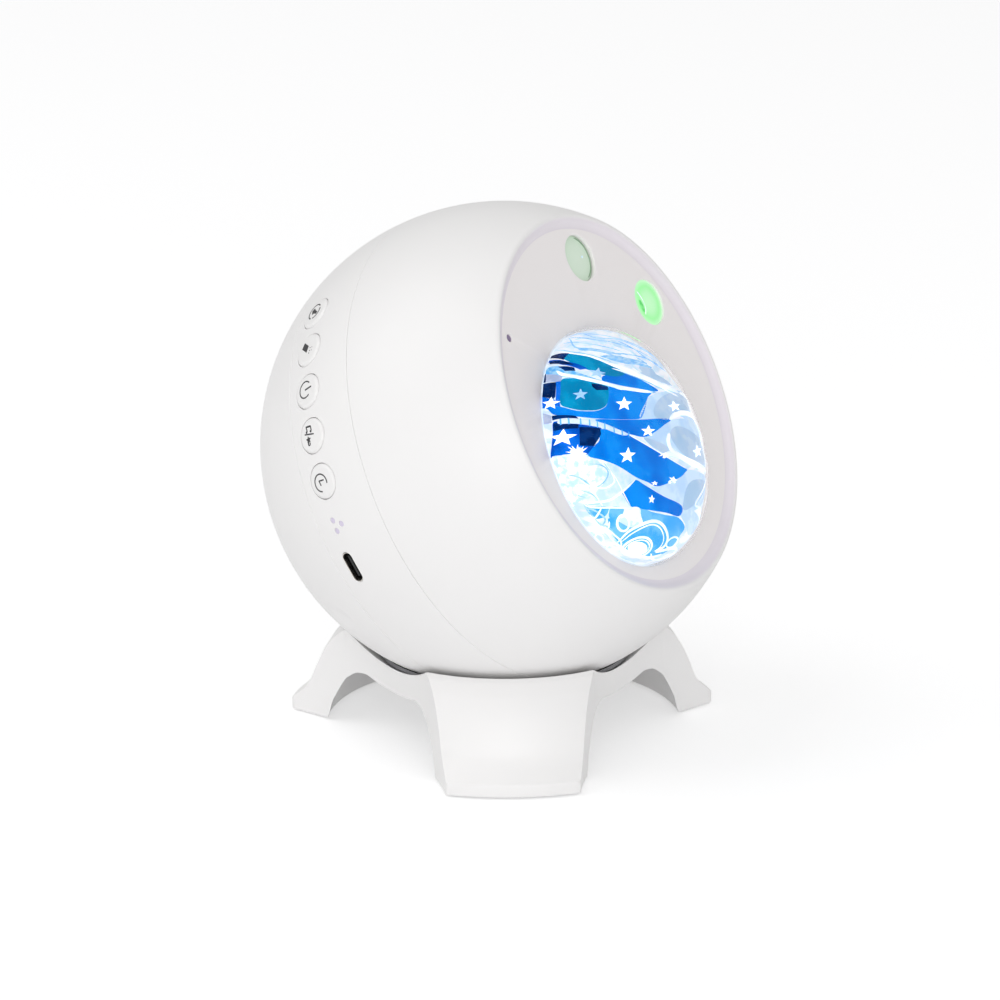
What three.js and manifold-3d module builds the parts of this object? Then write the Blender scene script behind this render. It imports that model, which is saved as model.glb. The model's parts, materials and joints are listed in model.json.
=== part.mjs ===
// Galaxy projector: a ball with a clear rippled window, cradled by a stand with three arms.
// Units are millimetres, +Z is up and the projector faces -Y.

import * as THREE from 'three';
import { mergeVertices } from 'three/addons/utils/BufferGeometryUtils.js';
import Module from 'manifold-3d';

const wasm = await Module();
wasm.setup();
const { Manifold, Mesh: SolidMesh } = wasm;

const rad = THREE.MathUtils.degToRad;

// Ball: the optical axis is its z, its own up is y
const ballRadius = 67;
const wall = 2.2;
const fitGap = 0.3;
const clearance = 1;
const rimInset = 26;
const rimEase = 0.6;
const coreShare = 0.33;
const bandWidth = 23.5;
const tongueDepth = 2.2;
const tongueThickness = 0.9;

// How the ball lies in its cradle, in degrees
const restSwivel = -2.35;
const restTilt = 25.67;
const restRoll = 37.1;

// Face panel
const bevelWidth = 3.7;
const panelDrop = 2.2;
const panelThickness = 2;
const ledgeWidth = 1.7;
const ledgeThickness = 1.6;
const pressGap = 0.6;
const infraredInset = 2.9;
const infraredRadius = 1.1;
const receiverShares = [3, 4.2];

// Clear window and the tub behind it
const windowDrop = 13.5;
const windowMargin = 2.3;
const windowBulge = 14;
const windowWall = 1.6;
const windowFlange = 2.8;
const flangeThickness = 1.5;
const rippleHeight = 0.55;
const rippleLength = 13;
const rippleAngle = 53;
const rippleBendShare = 0.25;
const tubDepth = 22;
const tubWall = 1.4;
const tubTaper = 6;
const tubFloor = 1.5;
const earOffset = 3.5;
const earRadius = 3;
const earAngles = [-95, -40, 40, 95];

// Rippled drum, its gear and motor
const gearModule = 1;
const gearTipShare = 0.95;
const gearRootShare = 1.25;
const pressureAngle = 20;
const gearShare = 0.657;
const pinionTeeth = 10;
const toothPhaseShare = 0.5;
const gearThickness = 3;
const gearBacklash = 0.3;
const drumSetback = 3.2;
const drumWall = 1.4;
const drumHeight = 8;
const drumCrown = 12;
const drumFlutes = 7;
const fluteFacets = 4;
const fluteHeight = 0.5;
const fluteTwistAngle = 170;
const towerShare = 0.64;
const towerWall = 1.5;
const towerHeight = 11;
const motorRadius = 7;
const motorLength = 9;
const motorShaft = 1;
const motorFlange = 0.8;
const motorFlangeWidth = 9;
const motorScrewSpan = 19;

// Lamp
const lampBoardThickness = 1.2;
const ledRadius = 3;
const ledBase = 0.8;
const cupHeight = 5;
const cupWall = 0.8;
const sinkRadius = 21;
const sinkPlate = 3;
const finHeight = 11;
const finThickness = 1.6;
const finPitch = 5;

// Star lasers
const laserSpacing = 31.2;
const laserInset = 11;
const laserWindowRadius = 6.7;
const laserWindowThickness = 0.9;
const laserWindowLip = 0.4;
const laserWindowSetback = 1.2;
const laserRadius = 4.5;
const laserNoseRadius = 3.1;
const laserNose = 4;
const laserLength = 17;
const laserPlateThickness = 3;
const laserPlateBorder = 2.6;
const laserPostSpan = 10;

// Board with side switches and the five buttons
const boardInset = 11.5;
const boardThickness = 1.6;
const boardWindow = 15;
const buttonNames = ['scene', 'light', 'power', 'mode', 'timer'];
const buttonMiddleAngle = -94.95;
const buttonSpacing = 13;
const buttonSetback = 15.2;
const buttonRadius = 4.8;
const buttonProud = 0.45;
const buttonFlange = 0.8;
const buttonFlangeLip = 0.7;
const buttonStemRadius = 1.9;
const buttonTravel = 0.5;
const holeStartShare = 0.85;
const switchSize = 6;
const plungerRadius = 1.5;
const plungerReach = 2.1;
const plungerDepth = 2;

// Socket, microphone holes and electronics
const portSpacing = 12.6;
const usbWidth = 8.9;
const usbHeight = 3.2;
const usbShell = 0.35;
const usbDepth = 8.2;
const usbTongueWidth = 6.6;
const usbTongueThickness = 0.7;
const usbTongueShare = 0.8;
const usbFootShare = 0.8;
const soundHoleRadius = 0.85;
const soundHoleSpread = 1.75;
const microphoneRadius = 2.2;
const microphoneLength = 4.2;
const chipSize = 8;
const chipThickness = 1.2;
const capacitorRadius = 4;
const capacitorHeight = 9;

// Rear cap: speaker grille, thumb dimples and screw wells
const speakerRadius = 20.3;
const speakerRim = 1.4;
const speakerInset = 8.4;
const speakerDepth = 7.5;
const speakerSkin = 1.1;
const coneDepthShare = 0.6;
const magnetRadius = 11;
const magnetHeight = 7;
const grilleHoleRadius = 1.2;
const grillePitch = 4.8;
const grilleRings = 2;
const dimpleAngle = 154.9;
const dimpleSetback = 36.9;
const dimpleRadius = 5;
const dimpleDepth = 1;

// Screws: case, tub, motor and laser plate
const caseScrewAngles = [-55, 55, 180];
const caseScrewInset = 15.7;
const caseScrewRadius = 1.45;
const caseScrewGrip = 8;
const caseBossRadius = 3.2;
const wellRadius = 3.3;
const wellWall = 1.2;
const wellFloor = 8;
const smallScrewRadius = 1;
const smallScrewGrip = 2.6;
const screwHeadShare = 1.9;
const screwCrownShare = 0.8;
const screwHeadHeight = 1.6;
const bossRadius = 2.4;
const ribThickness = 1.4;

// Stand and seat ring
const standHeight = 28.5;
const footReach = 60.8;
const footHalfWidth = 18.1;
const toeHeight = 4;
const toeLength = 5.3;
const footDepth = 11.4;
const archRise = 1.5;
const archReach = 39.3;
const ringWall = 1.35;
const ringBore = 25.5;
const waist = 36.5;
const crestReach = 44;
const seatThickness = 1;
const seatInner = 27.5;
const seatOuter = 35;
const padLength = 24;
const padWidth = 7;
const padThickness = 1.4;
const padShows = 0.5;
const armAngles = [-60, 60, 180];

// Facets: round the ball, the window and the buttons, on small pieces and where a piece turns
const ballFacets = 36;
const windowFacets = 32;
const buttonFacets = 16;
const smallFacets = 12;
const bearingFacets = 24;
const screwFacets = 6;
const overrun = 1;
const weld = 1e-4;

// Places worked out from the sizes above
const innerRadius = ballRadius - wall;
const rimDepth = ballRadius - rimInset;
const rimRadius = Math.sqrt(ballRadius ** 2 - rimDepth ** 2);
const panelRadius = rimRadius - bevelWidth;
const panelFront = rimDepth - panelDrop;
const panelBack = panelFront - panelThickness;
const ledgeTop = panelBack - fitGap;
const ledgeInner = panelRadius + fitGap - ledgeWidth;
const infraredOffset = panelRadius - infraredInset;
const windowRadius = panelRadius - windowDrop - windowMargin;
const flangeRadius = windowRadius - fitGap + windowFlange;
const windowFoot = panelBack - fitGap - flangeThickness;
const tubTop = windowFoot - fitGap;
const tubBottom = tubTop - tubDepth;
const tubRadius = windowRadius - fitGap - windowWall + tubWall;
const floorTop = tubBottom + tubFloor;
const drumTeeth = Math.round(2 * windowRadius * gearShare / gearModule);
const gearPitchRadius = gearModule * drumTeeth / 2;
const drumRadius = gearPitchRadius - drumSetback;
const towerRadius = drumRadius * towerShare;
const pinionPitchRadius = gearModule * pinionTeeth / 2;
const motorOffset = gearPitchRadius + pinionPitchRadius;
const gearBase = floorTop + clearance;
const gearTop = gearBase + gearThickness;
const motorPlane = gearTop + fitGap;
const towerTop = floorTop + towerHeight;
const laserHeight = panelRadius - laserInset;
const boardRadius = ballRadius - boardInset;
const caseScrewOffset = ballRadius - caseScrewInset;
const speakerSetback = ballRadius - speakerInset;
const boardBack = -buttonSetback - switchSize / 4 - boardThickness;
const boardFront = boardBack + boardThickness;
const cradleRadius = ballRadius + fitGap + seatThickness + fitGap;
const ballHeight = standHeight + Math.sqrt(cradleRadius ** 2 - crestReach ** 2);
const crownAt = (reach) => ballHeight - Math.sqrt(cradleRadius ** 2 - reach ** 2);
const ringUnderside = crownAt(ringBore) - ringWall;
const archHeight = ringUnderside + archRise;

// Colours and finishes
const finish = (color, roughness, metalness = 0, opacity = 1) => new THREE.MeshStandardMaterial({
  color, roughness, metalness, opacity, transparent: opacity < 1,
});
const white = finish(0xf1efee, 0.42);
const panelWhite = finish(0xe6e0e3, 0.45);
const clear = finish(0xe4f1ff, 0.06, 0, 0.35);
const greenGlass = finish(0x9df5a4, 0.1, 0, 0.6);
const deepBlue = finish(0x0a6fd8, 0.3);
const teal = finish(0x128c96, 0.4);
const boardGreen = finish(0x1d5b38, 0.5);
const black = finish(0x16161a, 0.5);
const steel = finish(0xb9bcc0, 0.28, 1);
const brass = finish(0xb99a55, 0.3, 1);
const aluminium = finish(0xc6c9cc, 0.38, 1);
const ledYellow = finish(0xf7f2c8, 0.35);
const rubber = finish(0xa9a9ab, 0.8);
const paper = finish(0x2b2b2e, 0.85);

// Turns a closed three.js geometry into a solid with its faces pointing out
function solid(geometry) {
  geometry.deleteAttribute('normal');
  geometry.deleteAttribute('uv');
  const merged = mergeVertices(geometry, weld);
  const places = merged.attributes.position.array;
  const corner = (i) => new THREE.Vector3().fromArray(places, i * 3);
  const triangles = [];
  let volume = 0;
  for (let i = 0; i < merged.index.count; i += 3) {
    const [a, b, c] = merged.index.array.slice(i, i + 3);
    if (a === b || b === c || c === a) continue;
    triangles.push([a, b, c]);
    volume += corner(a).dot(corner(b).cross(corner(c)));
  }
  if (volume < 0) triangles.forEach((triangle) => triangle.reverse());
  return new Manifold(new SolidMesh({
    numProp: 3,
    vertProperties: new Float32Array(places),
    triVerts: Uint32Array.from(triangles.flat()),
  }));
}

function geometryOf(shape) {
  const mesh = shape.getMesh();
  const geometry = new THREE.BufferGeometry();
  geometry.setAttribute('position', new THREE.BufferAttribute(mesh.vertProperties, 3));
  geometry.setIndex(new THREE.BufferAttribute(mesh.triVerts, 1));
  geometry.computeVertexNormals();
  return geometry;
}

const join = (shapes) => shapes.reduce((whole, shape) => whole.add(shape));
const cut = (shape, tools) => tools.reduce((rest, tool) => rest.subtract(tool), shape);

// A profile of [radius, height] pairs turned about z
function latheOf(profile, facets) {
  const points = profile.map(([r, z]) => new THREE.Vector2(r, z));
  return new THREE.LatheGeometry(points, facets).rotateX(Math.PI / 2);
}

function revolve(profile, facets = smallFacets, x = 0, y = 0) {
  return solid(latheOf(profile, facets).translate(x, y, 0));
}

const ring = (inner, outer, from, to) => [
  [inner, from], [outer, from], [outer, to], [inner, to], [inner, from],
];

function rod(radius, from, to, x = 0, y = 0, facets = smallFacets) {
  return revolve([[0, from], [radius, from], [radius, to], [0, to]], facets, x, y);
}

function tube(inner, outer, from, to, facets = smallFacets, x = 0, y = 0) {
  return revolve(ring(inner, outer, from, to), facets, x, y);
}

function box(width, depth, height, x = 0, y = 0, z = 0) {
  return solid(new THREE.BoxGeometry(width, depth, height).translate(x, y, z));
}

function prism(shape, from, to, facets = smallFacets) {
  const options = { depth: to - from, bevelEnabled: false, steps: 1, curveSegments: facets / 4 };
  return solid(new THREE.ExtrudeGeometry(shape, options).translate(0, 0, from));
}

// A slot outline: a rectangle with half-round ends
function slotShape(length, width) {
  const shape = new THREE.Shape();
  const reach = (length - width) / 2;
  shape.moveTo(-reach, -width / 2);
  shape.lineTo(reach, -width / 2);
  shape.absarc(reach, 0, width / 2, -Math.PI / 2, Math.PI / 2);
  shape.lineTo(-reach, width / 2);
  shape.absarc(-reach, 0, width / 2, Math.PI / 2, Math.PI * 3 / 2);
  return shape;
}

// Points on a circle about the origin, from one height to another at equal angles
function arc(radius, from, to, steps) {
  const start = Math.asin(THREE.MathUtils.clamp(from / radius, -1, 1));
  const end = Math.asin(THREE.MathUtils.clamp(to / radius, -1, 1));
  return Array.from({ length: steps + 1 }, (_, i) => {
    const angle = start + (end - start) * i / steps;
    return [Math.max(0, radius * Math.cos(angle)), radius * Math.sin(angle)];
  });
}

const ballSolid = (radius, facets = ballFacets) => revolve(arc(radius, -radius, radius, facets / 2), facets);

// Where a direction at an angle from the ball's up meets a circle round its axis
const around = (angle, radius) => [radius * Math.sin(rad(angle)), radius * Math.cos(rad(angle))];

// Stands a shape made along z so that it points out of the ball's side, z away from the axis
function outward(shape, angle, z) {
  const [x, y] = around(angle, 1);
  return shape.transform([y, -x, 0, 0, 0, 0, -1, 0, x, y, 0, 0, 0, 0, z, 1]);
}

const model = new THREE.Group();
const swivel = new THREE.Group();
const tilt = new THREE.Group();
const ball = new THREE.Group();
const frame = new THREE.Group();
model.add(frame);
frame.add(swivel);
swivel.add(tilt);
tilt.add(ball);
swivel.position.z = ballHeight;
swivel.rotation.z = rad(restSwivel);
tilt.rotation.x = rad(90 - restTilt);
ball.rotation.z = rad(-restRoll);

function add(group, name, shape, material) {
  const mesh = new THREE.Mesh(geometryOf(shape), material);
  mesh.name = name;
  group.add(mesh);
  return mesh;
}

// Screw: a pan head below z, its shank running up from z
function screw(radius, grip, z, x, y) {
  const head = radius * screwHeadShare;
  const profile = [[0, z - screwHeadHeight], [head * screwCrownShare, z - screwHeadHeight],
    [head, z - screwHeadHeight / 2], [head, z], [radius, z], [radius, z + grip], [0, z + grip]];
  return revolve(profile, screwFacets, x, y);
}

// Front shell: the ball's front half, its bevelled rim and the ledge that the panel lies on
function frontShell() {
  const inside = ledgeTop - ledgeThickness;
  const skin = revolve([
    ...arc(ballRadius, 0, rimDepth - rimEase, 4),
    [rimRadius - rimEase, rimDepth],
    [panelRadius + fitGap, panelFront],
    [panelRadius + fitGap, ledgeTop],
    [ledgeInner, ledgeTop],
    [ledgeInner, inside],
    ...arc(innerRadius, inside, 0, 4),
    [innerRadius, -tongueDepth],
    [innerRadius + tongueThickness, -tongueDepth],
    [innerRadius + tongueThickness, 0],
    [ballRadius, 0],
  ], ballFacets);
  const core = ballSolid(ballRadius - wall * coreShare, ballFacets / 2);
  const bosses = caseScrewAngles.map((angle) => {
    const [x, y] = around(angle, caseScrewOffset);
    const boss = rod(caseBossRadius, boardFront + fitGap, ledgeTop - ledgeThickness / 2, x, y);
    const webReach = ballRadius - caseScrewOffset;
    const webHeight = inside - tongueDepth;
    const web = box(ribThickness, webReach, webHeight, 0, caseScrewOffset + webReach / 2,
      tongueDepth + webHeight / 2).rotate([0, 0, -angle]);
    const pilot = rod(caseScrewRadius + fitGap, boardFront, boardFront + caseScrewGrip + pressGap, x, y,
      screwFacets);
    return { body: join([boss, web]).intersect(core), pilot };
  });
  return cut(join([skin, ...bosses.map((boss) => boss.body)]), bosses.map((boss) => boss.pilot));
}

const laserPlaces = [-1, 1].map((side) => [side * laserSpacing / 2, laserHeight]);
const laserPosts = [-1, 1].map((side) => [0, laserHeight + side * laserPostSpan / 2]);
const laserPlateTop = panelBack - laserNose - laserPlateThickness;
const ears = earAngles.map((angle) => {
  const [x, y] = around(angle, flangeRadius + earOffset);
  return [x, y - windowDrop];
});

// Face panel: a flat disc with the big window, two laser windows and the infrared hole
function facePanel() {
  const disc = rod(panelRadius, panelBack, panelFront, 0, 0, ballFacets);
  const bosses = ears.map(([x, y]) => rod(bossRadius, tubTop + fitGap, panelBack + panelThickness / 2, x, y));
  const posts = laserPosts.map(([x, y]) => rod(bossRadius, laserPlateTop + fitGap,
    panelBack + panelThickness / 2, x, y));
  const holes = [
    rod(windowRadius, panelBack - overrun, panelFront + overrun, 0, -windowDrop, windowFacets),
    rod(infraredRadius, panelBack - overrun, panelFront + overrun, -infraredOffset, 0, screwFacets),
    ...laserPlaces.map(([x, y]) => rod(laserWindowRadius - laserWindowLip, panelBack - overrun,
      panelFront + overrun, x, y)),
    ...laserPlaces.map(([x, y]) => rod(laserWindowRadius + fitGap, panelBack - overrun,
      panelFront - laserWindowSetback + fitGap, x, y)),
    ...ears.map(([x, y]) => rod(smallScrewRadius + fitGap, tubTop,
      tubTop + smallScrewGrip, x, y, screwFacets)),
    ...laserPosts.map(([x, y]) => rod(smallScrewRadius + fitGap, laserPlateTop,
      laserPlateTop + smallScrewGrip + fitGap, x, y, screwFacets)),
  ];
  return cut(join([disc, ...bosses, ...posts]), holes);
}

// Waves that cross the clear window, fading out at its edge
function ripple(x, y, radius) {
  const [c, s] = [Math.cos(rad(rippleAngle)), Math.sin(rad(rippleAngle))];
  const along = (x * s - y * c) / rippleLength;
  const across = (x * c + y * s) / rippleLength;
  const fade = Math.max(0, 1 - (Math.hypot(x, y) / radius) ** 4);
  return rippleHeight * fade * Math.sin(2 * Math.PI * (across + rippleBendShare * Math.sin(2 * along)));
}

// Clear window: a rippled bulge with a flange behind the panel
function windowCover() {
  const outer = windowRadius - fitGap;
  const inner = outer - windowWall;
  const steps = 5;
  const bulge = (radius, height, i) => {
    const angle = Math.PI / 2 * i / steps;
    return [radius * Math.cos(angle), panelFront + height * Math.sin(angle)];
  };
  const range = Array.from({ length: steps + 1 }, (_, i) => i);
  const geometry = latheOf([
    [inner, windowFoot], [flangeRadius, windowFoot], [flangeRadius, panelBack - fitGap],
    [outer, panelBack - fitGap],
    ...range.map((i) => bulge(outer, windowBulge, i)),
    ...range.map((i) => bulge(inner, windowBulge - windowWall, steps - i)),
    [inner, windowFoot],
  ], windowFacets);
  const places = geometry.attributes.position;
  for (let i = 0; i < places.count; i += 1) {
    const z = places.getZ(i);
    if (z <= panelFront) continue;
    const [x, y] = [places.getX(i), places.getY(i)];
    places.setZ(i, z + ripple(x, y, inner));
  }
  const trim = rod(ledgeInner - fitGap, windowFoot - overrun, ballRadius, 0, windowDrop, ballFacets);
  return solid(geometry).intersect(trim).translate([0, -windowDrop, 0]);
}

// Tub: the tapered blue bowl behind the window, with a pocket for the motor and a lamp tower
const pocketHalf = motorScrewSpan / 2 + bossRadius + clearance;
const pocketReach = motorOffset + motorRadius + clearance;

function opticsTub() {
  const shell = (shrink, from, to) => {
    const slope = tubTaper / tubDepth;
    const at = (z) => tubRadius - shrink - slope * (tubTop - z);
    return join([
      revolve([[0, from], [at(from), from], [at(to), to], [0, to]], windowFacets),
      box((pocketHalf + tubWall - shrink) * 2, pocketReach + tubWall - shrink, to - from,
        0, (pocketReach + tubWall - shrink) / 2, (from + to) / 2),
    ]);
  };
  const flange = join([
    rod(flangeRadius, tubTop - flangeThickness, tubTop, 0, 0, windowFacets),
    ...earAngles.map((angle) => {
      const [x, y] = around(angle, flangeRadius + earOffset);
      const [nearX, nearY] = around(angle, flangeRadius - tubWall);
      const ear = rod(earRadius, tubTop - flangeThickness, tubTop, x, y);
      const neck = rod(earRadius, tubTop - flangeThickness, tubTop, nearX, nearY);
      return Manifold.hull([ear, neck]);
    }),
  ]);
  const trim = rod(ledgeInner - fitGap, tubBottom - overrun, tubTop + overrun, 0, windowDrop, ballFacets);
  const posts = [-1, 1].map((side) => rod(bossRadius, floorTop - tubFloor / 2, motorPlane - fitGap,
    side * motorScrewSpan / 2, motorOffset));
  const body = join([shell(0, tubBottom, tubTop), flange]).intersect(trim)
    .subtract(shell(tubWall, floorTop, tubTop + overrun));
  const tower = rod(towerRadius, floorTop - tubFloor / 2, towerTop, 0, 0, bearingFacets);
  const bores = [
    rod(towerRadius - towerWall, tubBottom - overrun, towerTop + overrun, 0, 0, bearingFacets),
    ...earAngles.map((angle) => rod(smallScrewRadius + fitGap, tubTop - flangeThickness - overrun,
      tubTop + overrun, ...around(angle, flangeRadius + earOffset), screwFacets)),
    ...posts.map((_, i) => rod(smallScrewRadius + fitGap, floorTop, motorPlane + overrun,
      (i * 2 - 1) * motorScrewSpan / 2, motorOffset, screwFacets)),
  ];
  return cut(join([body, tower, ...posts]), bores).translate([0, -windowDrop, 0]);
}

// Gear outline: straight flanks between the root, pitch and tip circles
function gearShape(teeth, phase = 0) {
  const pitch = gearModule * teeth / 2;
  const tip = pitch + gearModule * gearTipShare;
  const root = pitch - gearModule * gearRootShare;
  const thick = (gearModule * Math.PI / 2 - gearBacklash) / pitch;
  const lean = Math.tan(rad(pressureAngle));
  const half = (radius) => thick / 2 + (pitch - radius) * lean / pitch;
  const shape = new THREE.Shape();
  for (let i = 0; i < teeth; i += 1) {
    const middle = (i + phase) * 2 * Math.PI / teeth;
    [[root, -1], [tip, -1], [tip, 1], [root, 1]].forEach(([radius, side], j) => {
      const angle = middle + side * half(radius);
      const place = [radius * Math.cos(angle), radius * Math.sin(angle)];
      if (i + j === 0) shape.moveTo(...place);
      else shape.lineTo(...place);
    });
  }
  return shape;
}

// Drum: a clear fluted cup on a ring gear that turns round the lamp tower
function rippleDrum() {
  const inner = drumRadius - drumWall;
  const crown = gearTop + drumHeight;
  const steps = 4;
  const range = Array.from({ length: steps + 1 }, (_, i) => Math.PI / 2 * i / steps);
  const geometry = latheOf([
    [inner, gearTop - overrun], [drumRadius, gearTop - overrun],
    ...range.map((angle) => [drumRadius * Math.cos(angle), crown + drumCrown * Math.sin(angle)]),
    ...range.reverse().map((angle) => [inner * Math.cos(angle),
      crown + (drumCrown - drumWall) * Math.sin(angle)]),
    [inner, gearTop - overrun],
  ], drumFlutes * fluteFacets);
  const places = geometry.attributes.position;
  for (let i = 0; i < places.count; i += 1) {
    const [x, y, z] = [places.getX(i), places.getY(i), places.getZ(i)];
    if (z <= crown) continue;
    const radius = Math.hypot(x, y);
    const share = Math.sin(Math.PI * radius / drumRadius);
    const angle = Math.atan2(y, x) * drumFlutes + rad(fluteTwistAngle) * radius / drumRadius;
    places.setZ(i, z + fluteHeight * share * Math.sin(angle));
  }
  const teeth = prism(gearShape(drumTeeth), gearBase, gearTop);
  const bore = rod(towerRadius + fitGap, gearBase - overrun, gearTop + overrun, 0, 0, bearingFacets);
  const well = rod(inner, gearBase + gearThickness / 2, gearTop + overrun, 0, 0, drumFlutes * fluteFacets);
  return cut(join([teeth, solid(geometry)]), [bore, well]).translate([0, -windowDrop, 0]);
}

function motorPinion() {
  const gear = prism(gearShape(pinionTeeth, toothPhaseShare), gearBase, gearTop);
  const bore = rod(motorShaft + fitGap, gearBase - overrun, gearTop + overrun, 0, 0, screwFacets);
  return gear.subtract(bore).rotate([0, 0, -90]).translate([0, motorOffset - windowDrop, 0]);
}

function drumMotor() {
  const back = motorPlane + motorFlange;
  const can = rod(motorRadius, back - motorFlange / 2, back + motorLength);
  const flange = prism(slotShape(motorScrewSpan + bossRadius * 2, motorFlangeWidth), motorPlane, back);
  const shaft = rod(motorShaft, gearBase, back, 0, 0, screwFacets);
  const holes = [-1, 1].map((side) => rod(smallScrewRadius + fitGap, motorPlane - overrun, back + overrun,
    side * motorScrewSpan / 2, 0, screwFacets));
  return cut(join([can, flange, shaft]), holes).translate([0, motorOffset - windowDrop, 0]);
}

// Lamp: board, light, cup and the finned heat sink that stands in the tower
const lampPlane = towerTop + fitGap;
const lampTop = lampPlane + lampBoardThickness;

function reflectorCup() {
  const foot = ledRadius + clearance;
  const lip = towerRadius - towerWall;
  const base = lampTop + fitGap;
  return revolve([[foot, base], [foot + cupWall, base], [lip + cupWall, base + cupHeight],
    [lip, base + cupHeight], [foot, base]], smallFacets, 0, -windowDrop);
}

function heatSink() {
  const plateTop = tubBottom - fitGap;
  const plateBottom = plateTop - sinkPlate;
  const pillar = rod(towerRadius - towerWall - fitGap, plateBottom, towerTop);
  const plate = rod(sinkRadius, plateBottom, plateTop);
  const count = Math.floor(sinkRadius / finPitch);
  const fins = Array.from({ length: count * 2 + 1 }, (_, i) => {
    const x = (i - count) * finPitch;
    const length = 2 * Math.sqrt(sinkRadius ** 2 - (Math.abs(x) + finThickness / 2) ** 2);
    return box(finThickness, length, finHeight + sinkPlate / 2, x, 0,
      plateBottom + sinkPlate / 2 - (finHeight + sinkPlate / 2) / 2);
  });
  return join([pillar, plate, ...fins]).translate([0, -windowDrop, 0]);
}

// Star lasers: a window in the panel, a barrel behind it, one plate that carries both
function laserBarrel([x, y]) {
  const nose = laserPlateTop + laserNose + fitGap;
  const shoulder = nose - laserNose;
  return revolve([[0, nose - laserLength], [laserRadius, nose - laserLength],
    [laserRadius, shoulder], [laserNoseRadius, shoulder + (laserRadius - laserNoseRadius)],
    [laserNoseRadius, nose], [0, nose]], smallFacets, x, y);
}

function laserMount() {
  const length = laserSpacing + (laserRadius + fitGap + laserPlateBorder) * 2;
  const width = Math.max(laserPostSpan + bossRadius * 2, (laserRadius + fitGap + laserPlateBorder) * 2);
  const base = laserPlateTop - laserPlateThickness;
  const plate = prism(slotShape(length, width), base, laserPlateTop).translate([0, laserHeight, 0]);
  return cut(plate, [
    ...laserPlaces.map(([x, y]) => rod(laserRadius + fitGap, base - overrun, laserPlateTop + overrun, x, y)),
    ...laserPosts.map(([x, y]) => rod(smallScrewRadius + fitGap, base - overrun, laserPlateTop + overrun,
      x, y, screwFacets)),
  ]);
}

// Button band: the middle slice of the ball, with holes for the buttons, socket and microphone
const rearTongueTop = -bandWidth + tongueDepth;
const rearRebate = Math.sqrt(innerRadius ** 2 - (rearTongueTop + fitGap) ** 2) + fitGap;
const spread = (length) => THREE.MathUtils.radToDeg(length / ballRadius);
const buttonAngles = buttonNames.map((_, i) => (
  buttonMiddleAngle - spread((i - (buttonNames.length - 1) / 2) * buttonSpacing)
));
const soundHoleAngle = buttonAngles.at(-1) - spread(portSpacing);
const usbAngle = soundHoleAngle - spread(portSpacing);
const usbPlane = boardFront - boardThickness / 2;
const soundPlane = boardFront + clearance;
const soundHoles = [0, 1, 2].map((i) => {
  const turn = rad(i * 120);
  return [soundHoleSpread * Math.sin(turn), -soundHoleSpread * Math.cos(turn)];
});

function buttonBand() {
  const frontRebate = innerRadius + tongueThickness + fitGap;
  const skin = revolve([
    ...arc(ballRadius, -bandWidth, -fitGap, 3),
    [frontRebate, -fitGap],
    [frontRebate, -tongueDepth - fitGap],
    ...arc(innerRadius, -tongueDepth - fitGap, rearTongueTop + fitGap, 1),
    [rearRebate, rearTongueTop + fitGap],
    [rearRebate, -bandWidth],
    [Math.sqrt(ballRadius ** 2 - bandWidth ** 2), -bandWidth],
  ], ballFacets);
  const through = [innerRadius * holeStartShare, ballRadius + overrun];
  return cut(skin, [
    ...buttonAngles.map((angle) => outward(rod(buttonRadius + fitGap, ...through, 0, 0, buttonFacets),
      angle, -buttonSetback)),
    outward(prism(slotShape(usbWidth + fitGap * 2, usbHeight + fitGap * 2), ...through), usbAngle, usbPlane),
    ...soundHoles.map(([x, y]) => outward(rod(soundHoleRadius, ...through, x, y, screwFacets),
      soundHoleAngle, soundPlane)),
  ]);
}

// Button: a cap that follows the ball and stands a little proud,
// with a flange inside the wall and a stem to its switch
const switchFace = boardRadius;
const plungerTip = switchFace + plungerReach;
const stemEnd = plungerTip + fitGap;
const flangeTop = Math.sqrt(innerRadius ** 2
  - (buttonSetback + buttonRadius + buttonFlangeLip) ** 2) - pressGap;

function buttonCap(angle) {
  const profile = [
    [0, stemEnd], [buttonStemRadius, stemEnd], [buttonStemRadius, flangeTop - buttonFlange],
    [buttonRadius + buttonFlangeLip, flangeTop - buttonFlange], [buttonRadius + buttonFlangeLip, flangeTop],
    [buttonRadius, flangeTop], [buttonRadius, ballRadius + overrun], [0, ballRadius + overrun],
  ];
  return outward(revolve(profile, buttonFacets), angle, -buttonSetback)
    .intersect(ballSolid(ballRadius + buttonProud));
}

function switchPlunger(angle) {
  return outward(rod(plungerRadius, switchFace - plungerDepth, plungerTip, 0, 0, screwFacets),
    angle, -buttonSetback);
}

function switchBody(angle) {
  const height = (-buttonSetback - boardFront - fitGap) * 2;
  const body = box(switchSize, height, switchSize, 0, 0, switchFace - switchSize / 2);
  const bore = rod(plungerRadius + fitGap, switchFace - plungerDepth - buttonTravel - fitGap,
    switchFace + overrun, 0, 0, screwFacets);
  return outward(body.subtract(bore), angle, -buttonSetback);
}

// Board: a disc across the ball, held between the two sets of screw bosses
function mainBoard() {
  const disc = tube(boardWindow, boardRadius, boardBack, boardFront, ballFacets);
  const holes = caseScrewAngles.map((angle) => rod(caseScrewRadius + fitGap, boardBack - overrun,
    boardFront + overrun, ...around(angle, caseScrewOffset), screwFacets));
  return cut(disc, holes);
}

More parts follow.
